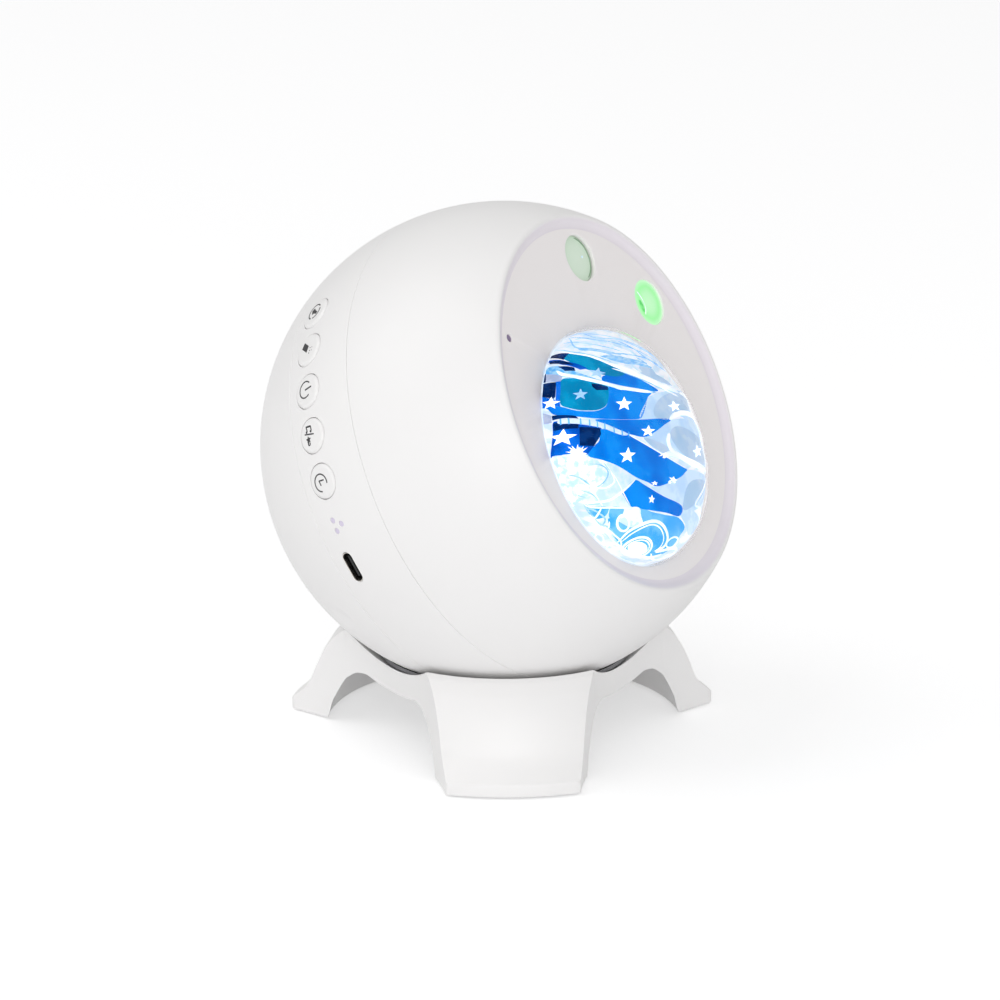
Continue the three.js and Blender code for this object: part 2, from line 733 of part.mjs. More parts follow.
function usbSocket() {
  const mouth = Math.sqrt(ballRadius ** 2 - (Math.abs(usbPlane) + usbHeight / 2) ** 2) - usbShell;
  const back = mouth - usbDepth;
  const shell = prism(slotShape(usbWidth, usbHeight), back, mouth);
  const hollow = prism(slotShape(usbWidth - usbShell * 2, usbHeight - usbShell * 2), back + usbShell,
    mouth + overrun);
  const tongue = box(usbTongueWidth, usbTongueThickness, usbDepth * usbTongueShare, 0, 0,
    back + usbDepth * usbTongueShare / 2);
  const footTop = boardThickness / 2 + fitGap;
  const footLength = usbDepth * usbFootShare;
  const foot = box(usbWidth * usbFootShare, usbHeight / 2 - footTop, footLength,
    0, -(usbHeight / 2 + footTop) / 2, back + usbShell - footLength / 2);
  return outward(join([shell.subtract(hollow), tongue, foot]), usbAngle, usbPlane);
}

function microphone() {
  const start = boardRadius + fitGap;
  return outward(rod(microphoneRadius, start, start + microphoneLength, 0, 0, screwFacets * 2),
    soundHoleAngle, soundPlane);
}

function infraredReceiver() {
  const [size, length] = receiverShares.map((share) => infraredRadius * share);
  const top = panelBack - fitGap;
  const nub = rod(infraredRadius - fitGap, top - size, panelBack + panelThickness / 2,
    -infraredOffset, 0, screwFacets);
  return box(size, length, size, -infraredOffset + size / 2 - infraredRadius, 0, top - size / 2).add(nub);
}

// Rear cap: grille over the speaker, two thumb dimples and the screw wells
const wellPlane = boardBack - fitGap - wellFloor;

function grilleHoles() {
  const holes = [[0, 0]];
  for (let row = 1; row <= grilleRings; row += 1) {
    for (let i = 0; i < row * 6; i += 1) holes.push(around(i * 60 / row, row * grillePitch));
  }
  return holes.map(([x, y]) => rod(grilleHoleRadius, -ballRadius - overrun, wall * 2 - innerRadius,
    x, y, screwFacets));
}

function rearCap() {
  const top = -bandWidth - fitGap;
  const tongueOuter = rearRebate - fitGap;
  const skin = revolve([
    ...arc(ballRadius, -ballRadius, top, 6),
    [tongueOuter, top],
    [tongueOuter, rearTongueTop],
    [tongueOuter - tongueThickness, rearTongueTop],
    ...arc(innerRadius, top, -innerRadius, 6),
  ], ballFacets);
  const core = ballSolid(ballRadius - wall * coreShare, ballFacets / 2);
  const seatOutside = speakerRadius + fitGap + ribThickness;
  const seat = tube(speakerRadius + fitGap, seatOutside, -ballRadius, -speakerSetback + speakerRim * 2,
    smallFacets * 2);
  const boss = (angle) => rod(wellRadius + wellWall, -ballRadius, boardBack - fitGap,
    ...around(angle, caseScrewOffset));
  const inside = join([seat, ...caseScrewAngles.map(boss)]).intersect(core);
  const wells = caseScrewAngles.flatMap((angle) => {
    const place = around(angle, caseScrewOffset);
    return [rod(wellRadius, -ballRadius, wellPlane, ...place),
      rod(caseScrewRadius + fitGap, -ballRadius, boardBack, ...place, screwFacets)];
  });
  const dishRadius = (dimpleRadius ** 2 + dimpleDepth ** 2) / (2 * dimpleDepth);
  const reach = (ballRadius - dimpleDepth + dishRadius) / ballRadius;
  const dimples = [-1, 1].map((side) => {
    const [x, y] = around(side * dimpleAngle, Math.sqrt(ballRadius ** 2 - dimpleSetback ** 2));
    return solid(new THREE.SphereGeometry(dishRadius, smallFacets * 2, smallFacets)
      .translate(x * reach, y * reach, -dimpleSetback * reach));
  });
  return cut(join([skin, inside]), [...wells, ...dimples, ...grilleHoles()]);
}

// Speaker: basket, cone and magnet behind the grille, facing the rear
function speakerBasket() {
  const rim = -speakerSetback;
  const back = rim + speakerRim + speakerDepth;
  const neck = magnetRadius;
  const skin = revolve([
    [speakerRadius - speakerRim * 2, rim], [speakerRadius, rim], [speakerRadius, rim + speakerRim],
    [speakerRadius - speakerRim, rim + speakerRim], [neck, back - speakerSkin], [neck, back],
    [neck / 2, back], [neck / 2, back - speakerSkin], [neck - speakerSkin, back - speakerSkin],
    [speakerRadius - speakerRim * 2, rim + speakerRim], [speakerRadius - speakerRim * 2, rim],
  ], buttonFacets);
  const windows = [0, 1, 2, 3].map((i) => box(neck, speakerRadius, speakerDepth / 2, 0,
    speakerRadius / 2 + neck, rim + speakerRim + speakerDepth / 2).rotate([0, 0, i * 90 + 45]));
  return cut(skin, windows);
}

function speakerCone() {
  const rim = -speakerSetback + speakerRim / 2;
  const edge = speakerRadius - speakerRim * 2 - fitGap;
  const throat = magnetRadius / 2 - fitGap;
  const back = rim + speakerDepth * coneDepthShare;
  return revolve([[0, back - throat / 2], [throat, back], [edge - speakerRim, rim], [edge, rim],
    [edge, rim + speakerSkin / 2], [edge - speakerRim, rim + speakerSkin / 2],
    [throat, back + speakerSkin / 2], [0, back + speakerSkin / 2]]);
}

function speakerMagnet() {
  const base = -speakerSetback + speakerRim + speakerDepth + fitGap;
  return rod(magnetRadius - speakerSkin / 2, base, base + magnetHeight);
}

// Stand: one profile turned about z, cut to three arms by three wide arcs
function standBody() {
  const toeInner = footReach - footDepth;
  const crownSteps = 3;
  const crown = Array.from({ length: crownSteps + 1 }, (_, i) => (
    ringBore + (crestReach - ringBore) * i / crownSteps
  )).map((reach) => [reach, crownAt(reach)]);
  const shoulder = footReach - toeLength;
  const toeShares = [[0.22, 1.9], [0.8, 1.2]];
  const backShares = [[0.12, 0.95], [0.35, 0.8], [0.6, 0.57], [0.82, 0.3], [0.95, 0.1]];
  const back = backShares.map(([out, up]) => [crestReach + (shoulder - crestReach) * out,
    toeHeight * 2 + (standHeight - toeHeight * 2) * up]);
  const archShares = [[0.1, 0.3], [0.27, 0.52], [0.5, 0.79], [0.78, 0.96]];
  const arch = archShares.map(([inward, up]) => [
    toeInner - (toeInner - archReach) * inward, archHeight * up,
  ]);
  const profile = [
    ...crown, ...back, ...toeShares.map(([out, up]) => [shoulder + toeLength * out, toeHeight * up]),
    [footReach, toeHeight], [footReach, padShows], [toeInner, padShows], ...arch,
    [archReach, archHeight], [waist, ringUnderside], [ringBore, ringUnderside],
  ];
  const turned = revolve([...profile, profile[0]], ballFacets);
  const footAngle = THREE.MathUtils.radToDeg(Math.asin(footHalfWidth / footReach));
  const cornerAngle = 180 / armAngles.length - footAngle;
  const corner = around(cornerAngle, footReach);
  const away = (footReach ** 2 - waist ** 2) / (2 * (corner[1] - waist));
  const scoops = armAngles.map((angle) => {
    const [x, y] = around(angle + 180, away);
    return rod(away - waist, -overrun, standHeight + overrun, x, -y, ballFacets);
  });
  const recesses = armAngles.map((angle) => (
    padShape(angle, fitGap, padShows - overrun, padThickness + fitGap)
  ));
  return cut(turned, [...scoops, ...recesses]);
}

function padShape(angle, grow, from, to) {
  const [x, y] = around(angle, footReach - footDepth / 2);
  return prism(slotShape(padLength + grow * 2, padWidth + grow * 2), from, to)
    .rotate([0, 0, angle]).translate([x, -y, 0]);
}

function seatRing() {
  const inner = ballRadius + fitGap;
  const outer = inner + seatThickness;
  const depth = (radius, reach) => -Math.sqrt(radius ** 2 - reach ** 2);
  const profile = [
    ...arc(outer, depth(outer, seatInner), depth(outer, seatOuter), 2),
    ...arc(inner, depth(inner, seatOuter), depth(inner, seatInner), 2),
  ];
  return revolve([...profile, profile[0]], ballFacets);
}

// The model, piece by piece
add(frame, 'stand', standBody(), white);
armAngles.forEach((angle, i) => add(frame, `foot_pad_${i + 1}`, padShape(angle, 0, 0, padThickness), rubber));
add(frame, 'seat_ring', seatRing(), rubber).position.z = ballHeight;

add(ball, 'front_shell', frontShell(), white);
add(ball, 'face_panel', facePanel(), panelWhite);
add(ball, 'button_band', buttonBand(), white);
add(ball, 'rear_cap', rearCap(), white);
add(ball, 'window_cover', windowCover(), clear);
add(ball, 'optics_tub', opticsTub(), deepBlue);

buttonAngles.forEach((angle, i) => {
  add(ball, `button_${buttonNames[i]}`, buttonCap(angle), white);
  add(ball, `switch_plunger_${i + 1}`, switchPlunger(angle), black);
  add(ball, `side_switch_${i + 1}`, switchBody(angle), steel);
});

add(ball, 'main_board', mainBoard(), boardGreen);
add(ball, 'usb_socket', usbSocket(), steel);
add(ball, 'microphone', microphone(), black);
add(ball, 'infrared_receiver', infraredReceiver(), black);
add(ball, 'control_chip', box(chipSize, chipSize, chipThickness, boardRadius / 2, 0,
  boardFront + fitGap + chipThickness / 2), black);
add(ball, 'capacitor', rod(capacitorRadius, boardFront + fitGap, boardFront + fitGap + capacitorHeight,
  boardRadius / 2, boardRadius / 2), black);

add(ball, 'ripple_drum', rippleDrum(), clear);
add(ball, 'motor_pinion', motorPinion(), panelWhite);
add(ball, 'drum_motor', drumMotor(), teal);
add(ball, 'lamp_board', rod(towerRadius - fitGap, lampPlane, lampTop, 0, -windowDrop), panelWhite);
add(ball, 'lamp_led', revolve([[0, lampTop + fitGap], [ledRadius, lampTop + fitGap],
  ...arc(ledRadius, 0, ledRadius, 4).map(([r, z]) => [r, lampTop + fitGap + ledBase + z])],
smallFacets, 0, -windowDrop), ledYellow);
add(ball, 'reflector_cup', reflectorCup(), panelWhite);
add(ball, 'heat_sink', heatSink(), aluminium);

['left', 'right'].forEach((side, i) => {
  const [x, y] = laserPlaces[i];
  const front = panelFront - laserWindowSetback;
  const pane = rod(laserWindowRadius, front - laserWindowThickness, front, x, y);
  add(ball, `laser_window_${side}`, pane, greenGlass);
  add(ball, `laser_barrel_${side}`, laserBarrel(laserPlaces[i]), brass);
});
add(ball, 'laser_mount', laserMount(), black);

add(ball, 'speaker_basket', speakerBasket(), steel);
add(ball, 'speaker_cone', speakerCone(), paper);
add(ball, 'speaker_magnet', speakerMagnet(), steel);

caseScrewAngles.forEach((angle, i) => {
  const length = boardFront + caseScrewGrip - wellPlane;
  add(ball, `case_screw_${i + 1}`, screw(caseScrewRadius, length, wellPlane - fitGap,
    ...around(angle, caseScrewOffset)), steel);
});
ears.forEach(([x, y], i) => add(ball, `tub_screw_${i + 1}`, screw(smallScrewRadius,
  smallScrewGrip + flangeThickness, tubTop - flangeThickness - fitGap, x, y), steel));
[-1, 1].forEach((side, i) => {
  const shape = screw(smallScrewRadius, motorFlange + fitGap + smallScrewGrip, 0, 0, 0).rotate([180, 0, 0]);
  const place = [side * motorScrewSpan / 2, motorOffset - windowDrop, motorPlane + motorFlange + fitGap];
  add(ball, `motor_screw_${i + 1}`, shape.translate(place), steel);
});
laserPosts.forEach(([x, y], i) => add(ball, `laser_screw_${i + 1}`, screw(smallScrewRadius,
  smallScrewGrip + laserPlateThickness, laserPlateTop - laserPlateThickness - fitGap, x, y), steel));

// The origin is on the floor, midway across what the whole object covers
model.updateMatrixWorld(true);
const cover = new THREE.Box3().setFromObject(model, true);
frame.position.set(-(cover.min.x + cover.max.x) / 2, -(cover.min.y + cover.max.y) / 2, -cover.min.z);

export default model;
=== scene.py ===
# %% [markdown]
# # Galaxy projector
# A white ball lies tilted in a low stand with three arms and throws stars and waves from a clear
# window. The working parts come packed from CAD as a fixed frame. This lesson dresses that frame:
# smooth shells over the faceted ones, finishes for every piece, a camera and a plain studio.

import json
import math

import bmesh
import bpy
import numpy as np
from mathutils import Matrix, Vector, geometry


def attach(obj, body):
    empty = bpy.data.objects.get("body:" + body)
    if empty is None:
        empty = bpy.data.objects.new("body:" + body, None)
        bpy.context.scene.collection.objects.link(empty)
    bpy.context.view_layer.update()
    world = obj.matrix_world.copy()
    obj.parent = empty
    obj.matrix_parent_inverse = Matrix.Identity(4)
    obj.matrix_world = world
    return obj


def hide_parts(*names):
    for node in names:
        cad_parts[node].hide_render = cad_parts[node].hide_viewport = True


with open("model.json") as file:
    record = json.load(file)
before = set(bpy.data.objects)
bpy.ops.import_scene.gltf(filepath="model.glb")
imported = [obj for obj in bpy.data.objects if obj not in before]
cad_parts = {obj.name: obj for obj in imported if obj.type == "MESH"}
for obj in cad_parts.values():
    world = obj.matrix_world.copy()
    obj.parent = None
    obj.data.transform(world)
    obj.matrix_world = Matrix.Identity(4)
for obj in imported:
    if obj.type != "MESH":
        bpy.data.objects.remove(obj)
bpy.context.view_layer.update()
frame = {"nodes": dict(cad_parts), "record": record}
joints = {joint["name"]: joint for joint in frame["record"]["behaviour"]["joints"]}

# %% [markdown]
# ## Where the ball lies
# The ball is turned three ways in its cradle: a swivel about the vertical, a tilt about a level
# axis and a roll about its own optical axis. Working in the ball's own millimetres is simpler, so
# one function carries points from the ball to the room. The drum turns about the optical axis,
# which gives a check that the three angles are right.

# %% Ball axes
MM = 0.001
REST_SWIVEL, REST_TILT, REST_ROLL = -2.35, 25.67, 37.1


def cos_sin(degrees):
    """Cosine and sine of an angle in degrees."""
    return math.cos(math.radians(degrees)), math.sin(math.radians(degrees))


def turn_about(axis, degrees):
    """Rotation matrix about x (0) or z (2): cosines on the diagonal, sines across it."""
    c, s = cos_sin(degrees)
    i, j = [k for k in range(3) if k != axis]
    matrix = np.eye(3)
    matrix[i, i] = matrix[j, j] = c
    matrix[i, j], matrix[j, i] = -s, s
    return matrix


ball_axes = turn_about(2, REST_SWIVEL) @ turn_about(0, 90 - REST_TILT) @ turn_about(2, -REST_ROLL)
ball_centre = np.array(joints["ball_tilt"]["pos_m"])


def in_ball(points):
    """Ball's millimetres to the room's metres: centre + axes times the point."""
    return ball_centre + MM * np.asarray(points, float) @ ball_axes.T


def in_room(points):
    """The stand's millimetres, measured from the axis of its ring, to the room's metres."""
    return np.array([ball_centre[0], ball_centre[1], 0]) + MM * np.asarray(points, float)


print("optical axis", ball_axes[:, 2], "drum's axis", joints["drum_spin"]["axis"])

# %% [markdown]
# ## Surfaces from arrays
# Almost every piece is a surface of two parameters: a profile turned about an axis, or a section
# carried round the stand. The places are worked out as whole arrays, and one function puts them
# into a mesh. Where a row shrinks to a point, its doubles are merged, which closes the surface.

# %% Mesh from a grid
TINY = 1e-7


def piece_from(name, points, faces):
    """A mesh object at the origin, with its doubles merged and its faces pointing outwards."""
    mesh = bpy.data.meshes.new(name)
    mesh.from_pydata(np.asarray(points).reshape(-1, 3).tolist(), [], faces)
    work = bmesh.new()
    work.from_mesh(mesh)
    bmesh.ops.remove_doubles(work, verts=work.verts, dist=TINY)
    bmesh.ops.dissolve_degenerate(work, edges=work.edges, dist=TINY)
    bmesh.ops.recalc_face_normals(work, faces=work.faces)
    work.to_mesh(mesh)
    work.free()
    piece = bpy.data.objects.new(name, mesh)
    bpy.context.scene.collection.objects.link(piece)
    return piece


def grid_faces(rows, columns, close_rows=False, close_columns=True, first=0):
    """Four-sided faces between neighbours of a grid; a closed direction comes round again."""
    i = np.arange(rows if close_rows else rows - 1)[:, None]
    j = np.arange(columns if close_columns else columns - 1)[None, :]
    right, below = (j + 1) % columns, (i + 1) % rows
    quads = np.stack([i * columns + j, i * columns + right, below * columns + right,
                      below * columns + j], axis=-1)
    return (quads.reshape(-1, 4) + first).tolist()


def grid_piece(name, grid, close_rows=False, close_columns=True):
    return piece_from(name, grid, grid_faces(*grid.shape[:2], close_rows, close_columns))


# %% Profiles
def arc(radius, start, end, steps):
    """Points on a circle from one angle to another, in degrees: radius (cos, sin)."""
    angle = np.radians(np.linspace(start, end, steps + 1))
    return np.stack([radius * np.cos(angle), radius * np.sin(angle)], 1)


def bend(start, corner, end, steps):
    """A curve that leans on a corner: (1 - t)^2 start + 2 t (1 - t) corner + t^2 end."""
    start, corner, end = (np.asarray(point, float) for point in (start, corner, end))
    t = np.linspace(0, 1, steps + 1).reshape(-1, *[1] * start.ndim)
    return (1 - t) ** 2 * start + 2 * t * (1 - t) * corner + t ** 2 * end


def rounded(parts, steps=6):
    """Closed outline from (points, radius) parts, whose corners become arcs.

    Each corner steps back along both sides by radius over the tangent of half its angle, and the
    arc between is a quadratic blend, which is close to a circle where the corner is near square.
    """
    parts = [(np.atleast_2d(np.asarray(part, float)), radius) for part, radius in parts]
    points = np.concatenate([part for part, _ in parts])
    radii = [radius for part, radius in parts for _ in part]
    line = []
    for i, radius in enumerate(radii):
        corner, before, after = points[i], points[i - 1], points[(i + 1) % len(points)]
        if not radius:
            line.append(corner)
            continue
        back, on = before - corner, after - corner
        reach_back, reach_on = np.linalg.norm(back), np.linalg.norm(on)
        back, on = back / reach_back, on / reach_on
        half = math.acos(np.clip(back @ on, -1, 1)) / 2
        step = min(radius / math.tan(half), reach_back * 0.49, reach_on * 0.49)
        line.extend(bend(corner + back * step, corner, corner + on * step, steps))
    return np.array(line)


def turned(profile, steps, middle=(0, 0)):
    """A profile of (radius, height) turned about z: (r cos a, r sin a, height)."""
    a = np.linspace(0, 2 * np.pi, steps, endpoint=False)[None, :]
    r, z = np.asarray(profile, float)[:, 0:1], np.asarray(profile, float)[:, 1:2]
    return np.stack([middle[0] + r * np.cos(a), middle[1] + r * np.sin(a), z + 0 * a], axis=-1)


# %% Smooth shading and cutting
CREASE, STRAND_CREASE, STAND_CREASE = 32, 60, 40


def smooth(piece, degrees=CREASE):
    """Smooth shading, with a crease wherever two faces meet at more than this angle."""
    piece.data.shade_smooth()
    piece.data.set_sharp_from_angle(angle=math.radians(degrees))
    return piece


def cut(piece, tools):
    """Takes the tools' closed shapes out of a piece, and the tools out of the scene."""
    kit = bpy.data.collections.new("tools")
    for tool in tools:
        kit.objects.link(tool)
        bpy.context.scene.collection.objects.unlink(tool)
    bpy.context.scene.collection.children.link(kit)
    modifier = piece.modifiers.new("holes", "BOOLEAN")
    modifier.operation, modifier.operand_type = "DIFFERENCE", "COLLECTION"
    modifier.collection, modifier.solver = kit, "MANIFOLD"
    whole, graph = piece.data, bpy.context.evaluated_depsgraph_get()
    piece.data = bpy.data.meshes.new_from_object(piece.evaluated_get(graph))
    piece.modifiers.clear()
    piece.data.name = piece.name
    bpy.data.meshes.remove(whole)
    for tool in tools:
        bpy.data.objects.remove(tool)
    bpy.data.collections.remove(kit)
    return piece


# %% [markdown]
# ## Shader maths as expressions
# A finish is easier to read as arithmetic than as a web of nodes. One small class wraps a node's
# output and overloads the operators, and each operation adds a Math node. Every other node comes
# from one method of the finish, which takes the node's type, its settings and its inputs.

# %% Socket and Finish
class Socket:
    """A shader value that can be added, multiplied and compared like a number."""

    def __init__(self, finish, link):
        self.finish, self.link = finish, link

    def maths(self, operation, *terms):
        return self.finish.node("ShaderNodeMath", {"operation": operation}, dict(enumerate(terms)))

    def __add__(self, other):
        return self.maths("ADD", self, other)

    def __sub__(self, other):
        return self.maths("SUBTRACT", self, other)

    def __rsub__(self, other):
        return self.maths("SUBTRACT", other, self)

    def __mul__(self, other):
        return self.maths("MULTIPLY", self, other)

    def __truediv__(self, other):
        return self.maths("DIVIDE", self, other)

    def __gt__(self, other):
        return self.maths("GREATER_THAN", self, other)

    def ramp(self, low, high):
        """0 below low, 1 above high and a smooth rise between."""
        return self.finish.node("ShaderNodeMapRange", {"interpolation_type": "SMOOTHSTEP"},
                                {"Value": self, "From Min": low, "From Max": high})

    __radd__ = __add__
    __rmul__ = __mul__


class Finish:
    """One material on a Principled shader, with a name and a slot of the record."""

    def __init__(self, name, slot, colour, roughness, **constants):
        self.slot = slot
        self.material = bpy.data.materials.new(name)
        self.material.use_nodes = True
        self.tree = self.material.node_tree
        self.shader = self.tree.nodes["Principled BSDF"]
        self.material.diffuse_color = colour
        self.set({"Base Color": colour, "Roughness": roughness})
        self.set({key.replace("_", " "): value for key, value in constants.items()})

    def set(self, values):
        for key, value in values.items():
            self.feed(self.shader.inputs[key], value)
        return self

    def feed(self, entry, value):
        if isinstance(value, Socket):
            self.tree.links.new(value.link, entry)
        else:
            entry.default_value = value

    def node(self, kind, settings=None, inputs=None, out=0):
        made = self.tree.nodes.new(kind)
        for key, value in (settings or {}).items():
            if key == "stops":
                ramp = made.color_ramp.elements
                while len(ramp) < len(value):
                    ramp.new(1)
                for element, (place, colour) in zip(ramp, value):
                    element.position, element.color = place, colour
            else:
                setattr(made, key, value)
        for key, value in (inputs or {}).items():
            self.feed(made.inputs[key], value)
        return Socket(self, made.outputs[out])

    def place(self, scale=(1, 1, 1)):
        """The point on the piece in metres, stretched by a Mapping node."""
        return self.node("ShaderNodeMapping", {}, {"Vector": self.point(), "Scale": scale})

    def point(self):
        return self.node("ShaderNodeTexCoord", out="Object")

    def away(self, middle):
        """Distance in metres from a point in the ball's millimetres."""
        return self.node("ShaderNodeVectorMath", {"operation": "DISTANCE"},
                         {0: self.point(), 1: tuple(in_ball(middle))}, out=1)

    def noise(self, size, detail=2.0, scale=(1, 1, 1)):
        """Noise between 0 and 1 with features of about this size in metres."""
        return self.node("ShaderNodeTexNoise", {}, {
            "Vector": self.place(scale), "Scale": 1 / size, "Detail": detail})

    def mix(self, share, first, second):
        """Colour between two colours."""
        made = self.node("ShaderNodeMix", {"data_type": "RGBA"}, {0: share}, out=2)
        self.feed(made.link.node.inputs[6], first)
        self.feed(made.link.node.inputs[7], second)
        return made

    def bump(self, height, distance):
        return self.set({"Normal": self.node("ShaderNodeBump", {}, {
            "Height": height, "Distance": distance})})

    def on(self, piece, body=None, replaces=()):
        """Puts the finish on a piece, rides it on a body and says which nodes it stands for."""
        piece.data.materials.clear()
        piece.data.materials.append(self.material)
        if body:
            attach(piece, body)
        if replaces:
            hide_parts(*replaces)
        return piece

    def dress(self, name, grid, replaces=(), ring=False):
        """A smooth finished piece of the ball from a grid in its millimetres."""
        return self.on(smooth(ball_piece(name, grid, ring)), "ball", replaces)


def ball_piece(name, grid, ring=False):
    """A piece from a grid in the ball's millimetres; a ring's last row joins its first."""
    return grid_piece(name, in_ball(grid), ring)


def shade(colour):
    """A colour written as 0-255 on screen, made linear: ((c + 0.055) / 1.055) to the power 2.4."""
    linear = [((c / 255 + 0.055) / 1.055) ** 2.4 if c > 10 else c / 255 / 12.92 for c in colour]
    return (*linear, 1)


# %% [markdown]
# ## Moulded plastics
# The shells are white ABS out of a polished mould that has been lightly blasted: an even satin
# with the faintest grain, a slow wander in gloss and almost none in colour. Noise of two sizes
# gives that: a fifth of a millimetre for the grain, centimetres for the gloss. The face panel
# is the same plastic in a white that is a touch pinker.

# %% White plastics
CLOUD = 0.035


def moulded(name, slot, colour, other, roughness, grain=0.00022, depth=0.000006, **constants):
    """Two close tones, a slow wander in gloss and a fine grain."""
    finish = Finish(name, slot, shade(colour), roughness, **constants)
    cloud = finish.noise(CLOUD, detail=3.0)
    fine = finish.noise(grain, detail=1.0)
    finish.set({"Base Color": finish.mix(cloud, shade(colour), shade(other)),
                "Roughness": roughness - 0.04 + cloud * 0.06 + fine * 0.03})
    return finish.bump(fine + cloud * 2, depth)


shell_white = ("white_abs", (243, 242, 241), (240, 239, 239), 0.42)
white_plastic = moulded("moulded_white", *shell_white)
panel_plastic = moulded("panel_white", "face_white", (248, 244, 243), (245, 241, 241), 0.45)
button_plastic = moulded("button_white", "white_abs", (242, 241, 240), (238, 237, 237), 0.38,
                         grain=0.00018)
rubber = moulded("grey_rubber", "soft_rubber", (150, 150, 153), (138, 138, 141), 0.78,
                 grain=0.0005, depth=0.00002)

# %% [markdown]
# ## The ball's shells
# The ball is a front shell, a middle band and a rear cap, each a wall 2.2 mm thick with a step
# that locates it in its neighbour. Each is one closed section turned about the optical axis. The
# edges are rounded as a mould rounds them, so that a thin bright line runs along the seams.

# %% Sizes of the ball in millimetres
BALL, WALL, FIT = 67.0, 2.2, 0.3
INNER = BALL - WALL
RIM_HEIGHT, PANEL_FRONT, PANEL_BACK = 41.0, 38.8, 36.8
RIM, RIM_ROUND = math.sqrt(BALL ** 2 - RIM_HEIGHT ** 2), 1.1
PANEL = RIM - 3.7
LEDGE_TOP, LEDGE_FOOT, LEDGE_INNER = 36.5, 34.9, PANEL + FIT - 1.7
BAND, SEAM, SEAM_EDGE, STEP_EDGE = 23.5, 0.1, 0.15, 0.1
TONGUE, TONGUE_THICK = 2.2, 0.9
ROUND_STEPS, FINE_STEPS = 256, 384
# lilac of the lamp's glow painted on the bevel
BEVEL_GLOW_LILAC = (236, 230, 236)


def height_angle(radius, z):
    """Angle in degrees of the point at height z on a circle."""
    return math.degrees(math.asin(z / radius))


# %% Front shell
def front_shell_section():
    """The crown, the round rim, the bevel, the panel's ledge, the inside and the tongue."""
    crown = arc(BALL, 0, height_angle(BALL, RIM_HEIGHT - RIM_ROUND), 72)
    rim_end, bevel_end = (RIM - RIM_ROUND, RIM_HEIGHT - 0.85), (RIM - 1.6, RIM_HEIGHT - 1.35)
    return rounded([
        (crown[0], SEAM_EDGE), (crown[1:-1], 0),
        (bend(crown[-1], (RIM - 0.05, RIM_HEIGHT), rim_end, 10), 0),
        (bend(bevel_end, (RIM - 2.5, PANEL_FRONT), (PANEL + FIT, PANEL_FRONT), 10), 0),
        ((PANEL + FIT, LEDGE_TOP), 0),
        ((LEDGE_INNER, LEDGE_TOP), 0.2), ((LEDGE_INNER, LEDGE_FOOT), 0.2),
        (arc(INNER, height_angle(INNER, LEDGE_FOOT), 0, 40), 0),
        ((INNER, -TONGUE), STEP_EDGE), ((INNER + TONGUE_THICK, -TONGUE), STEP_EDGE),
        ((INNER + TONGUE_THICK, 0), 0),
    ])


# the bevel is painted a little more lilac than the rest, by distance from the middle of the rim: a
# painted glow of the lamp inside
rim_plastic = moulded("moulded_rim", *shell_white)
plain = Socket(rim_plastic, rim_plastic.shader.inputs["Base Color"].links[0].from_socket)
glow_share = rim_plastic.away([0, 0, RIM_HEIGHT - RIM_ROUND]).ramp((RIM - 1.2) * MM, (RIM - 0.1) * MM)
rim_plastic.set({"Base Color": rim_plastic.mix(glow_share, shade(BEVEL_GLOW_LILAC), plain)})
shell = rim_plastic.dress("front_shell_smooth", turned(front_shell_section(), ROUND_STEPS),
                          ["front_shell"], ring=True)
print("front shell", len(shell.data.polygons), "faces")

# %% [markdown]
# ## Holes that follow the ball
# A hole in the band runs straight towards the axis, but its mouth lies on a sphere, so its edge
# isn't flat. Each tool is a closed grid whose rows are offsets of the hole's outline: deep down
# they are straight, and near the surface they flare out by a quarter circle measured from the
# sphere itself. Cutting with it leaves an even, rounded edge. Rows of the same kind make the
# button that fills the hole.

# %% Outlines and caps on the side of the ball
def side_place(angle, height, x, y, away):
    """A point beside the axis: x round the ball, y to the rear, away from the optical axis."""
    c, s = cos_sin(angle)
    across, out, back = np.array([c, -s, 0.0]), np.array([s, c, 0.0]), np.array([0.0, 0.0, -1.0])
    return (x[..., None] * across + y[..., None] * back + away[..., None] * out
            + np.array([0.0, 0.0, height]))


def sphere_over(height, x, y):
    """How far the ball's skin is from the optical axis: sqrt(R^2 - x^2 - (height - y)^2)."""
    return np.sqrt(BALL ** 2 - x ** 2 - (height - y) ** 2)


def slot_rows(radius, steps, half):
    """Outlines of a slot: circles split in two halves that stand half apart."""
    a = np.linspace(0, 2 * np.pi, steps, endpoint=False) + np.pi / steps
    apart = np.where(np.cos(a) > 0, half, -half)
    return apart * (radius > 0) + radius * np.cos(a), radius * np.sin(a)


def side_grid(angle, height, rows, steps=64, half=0.0, shift=(0, 0)):
    """Rows of (radius, depth, follow): depth above the sphere where follow, else from the axis."""
    radius, depth, follow = (np.asarray(column, float)[:, None] for column in zip(*rows))
    x, y = slot_rows(radius, steps, half)
    x, y = shift[0] + x, shift[1] + y
    away = np.where(follow > 0, sphere_over(height, x, y) + depth, depth)
    return side_place(angle, height, x, y, away)


def flare(radius, ease, steps=5):
    """(radius, depth) where a hole opens on to a surface: a quarter circle of the size of ease."""
    return [(radius + ease * (1 - math.cos(a)), ease * (math.sin(a) - 1))
            for a in np.linspace(0, np.pi / 2, steps)]


def side_hole(name, angle, height, radius, ease, floor=52.0, **outline):
    rows = [(0, floor, 0), (radius, floor, 0), *[(*row, 1) for row in flare(radius, ease)],
            (radius + ease + 0.1, 0.5, 1), (0, 0.5, 1)]
    return ball_piece(name, side_grid(angle, height, rows, **outline))


# %% [markdown]
# ## The middle band
# Five buttons, three small holes for the microphone and the power socket sit in the band. The
# buttons stand about eleven degrees apart, in a row that starts high and ends low.

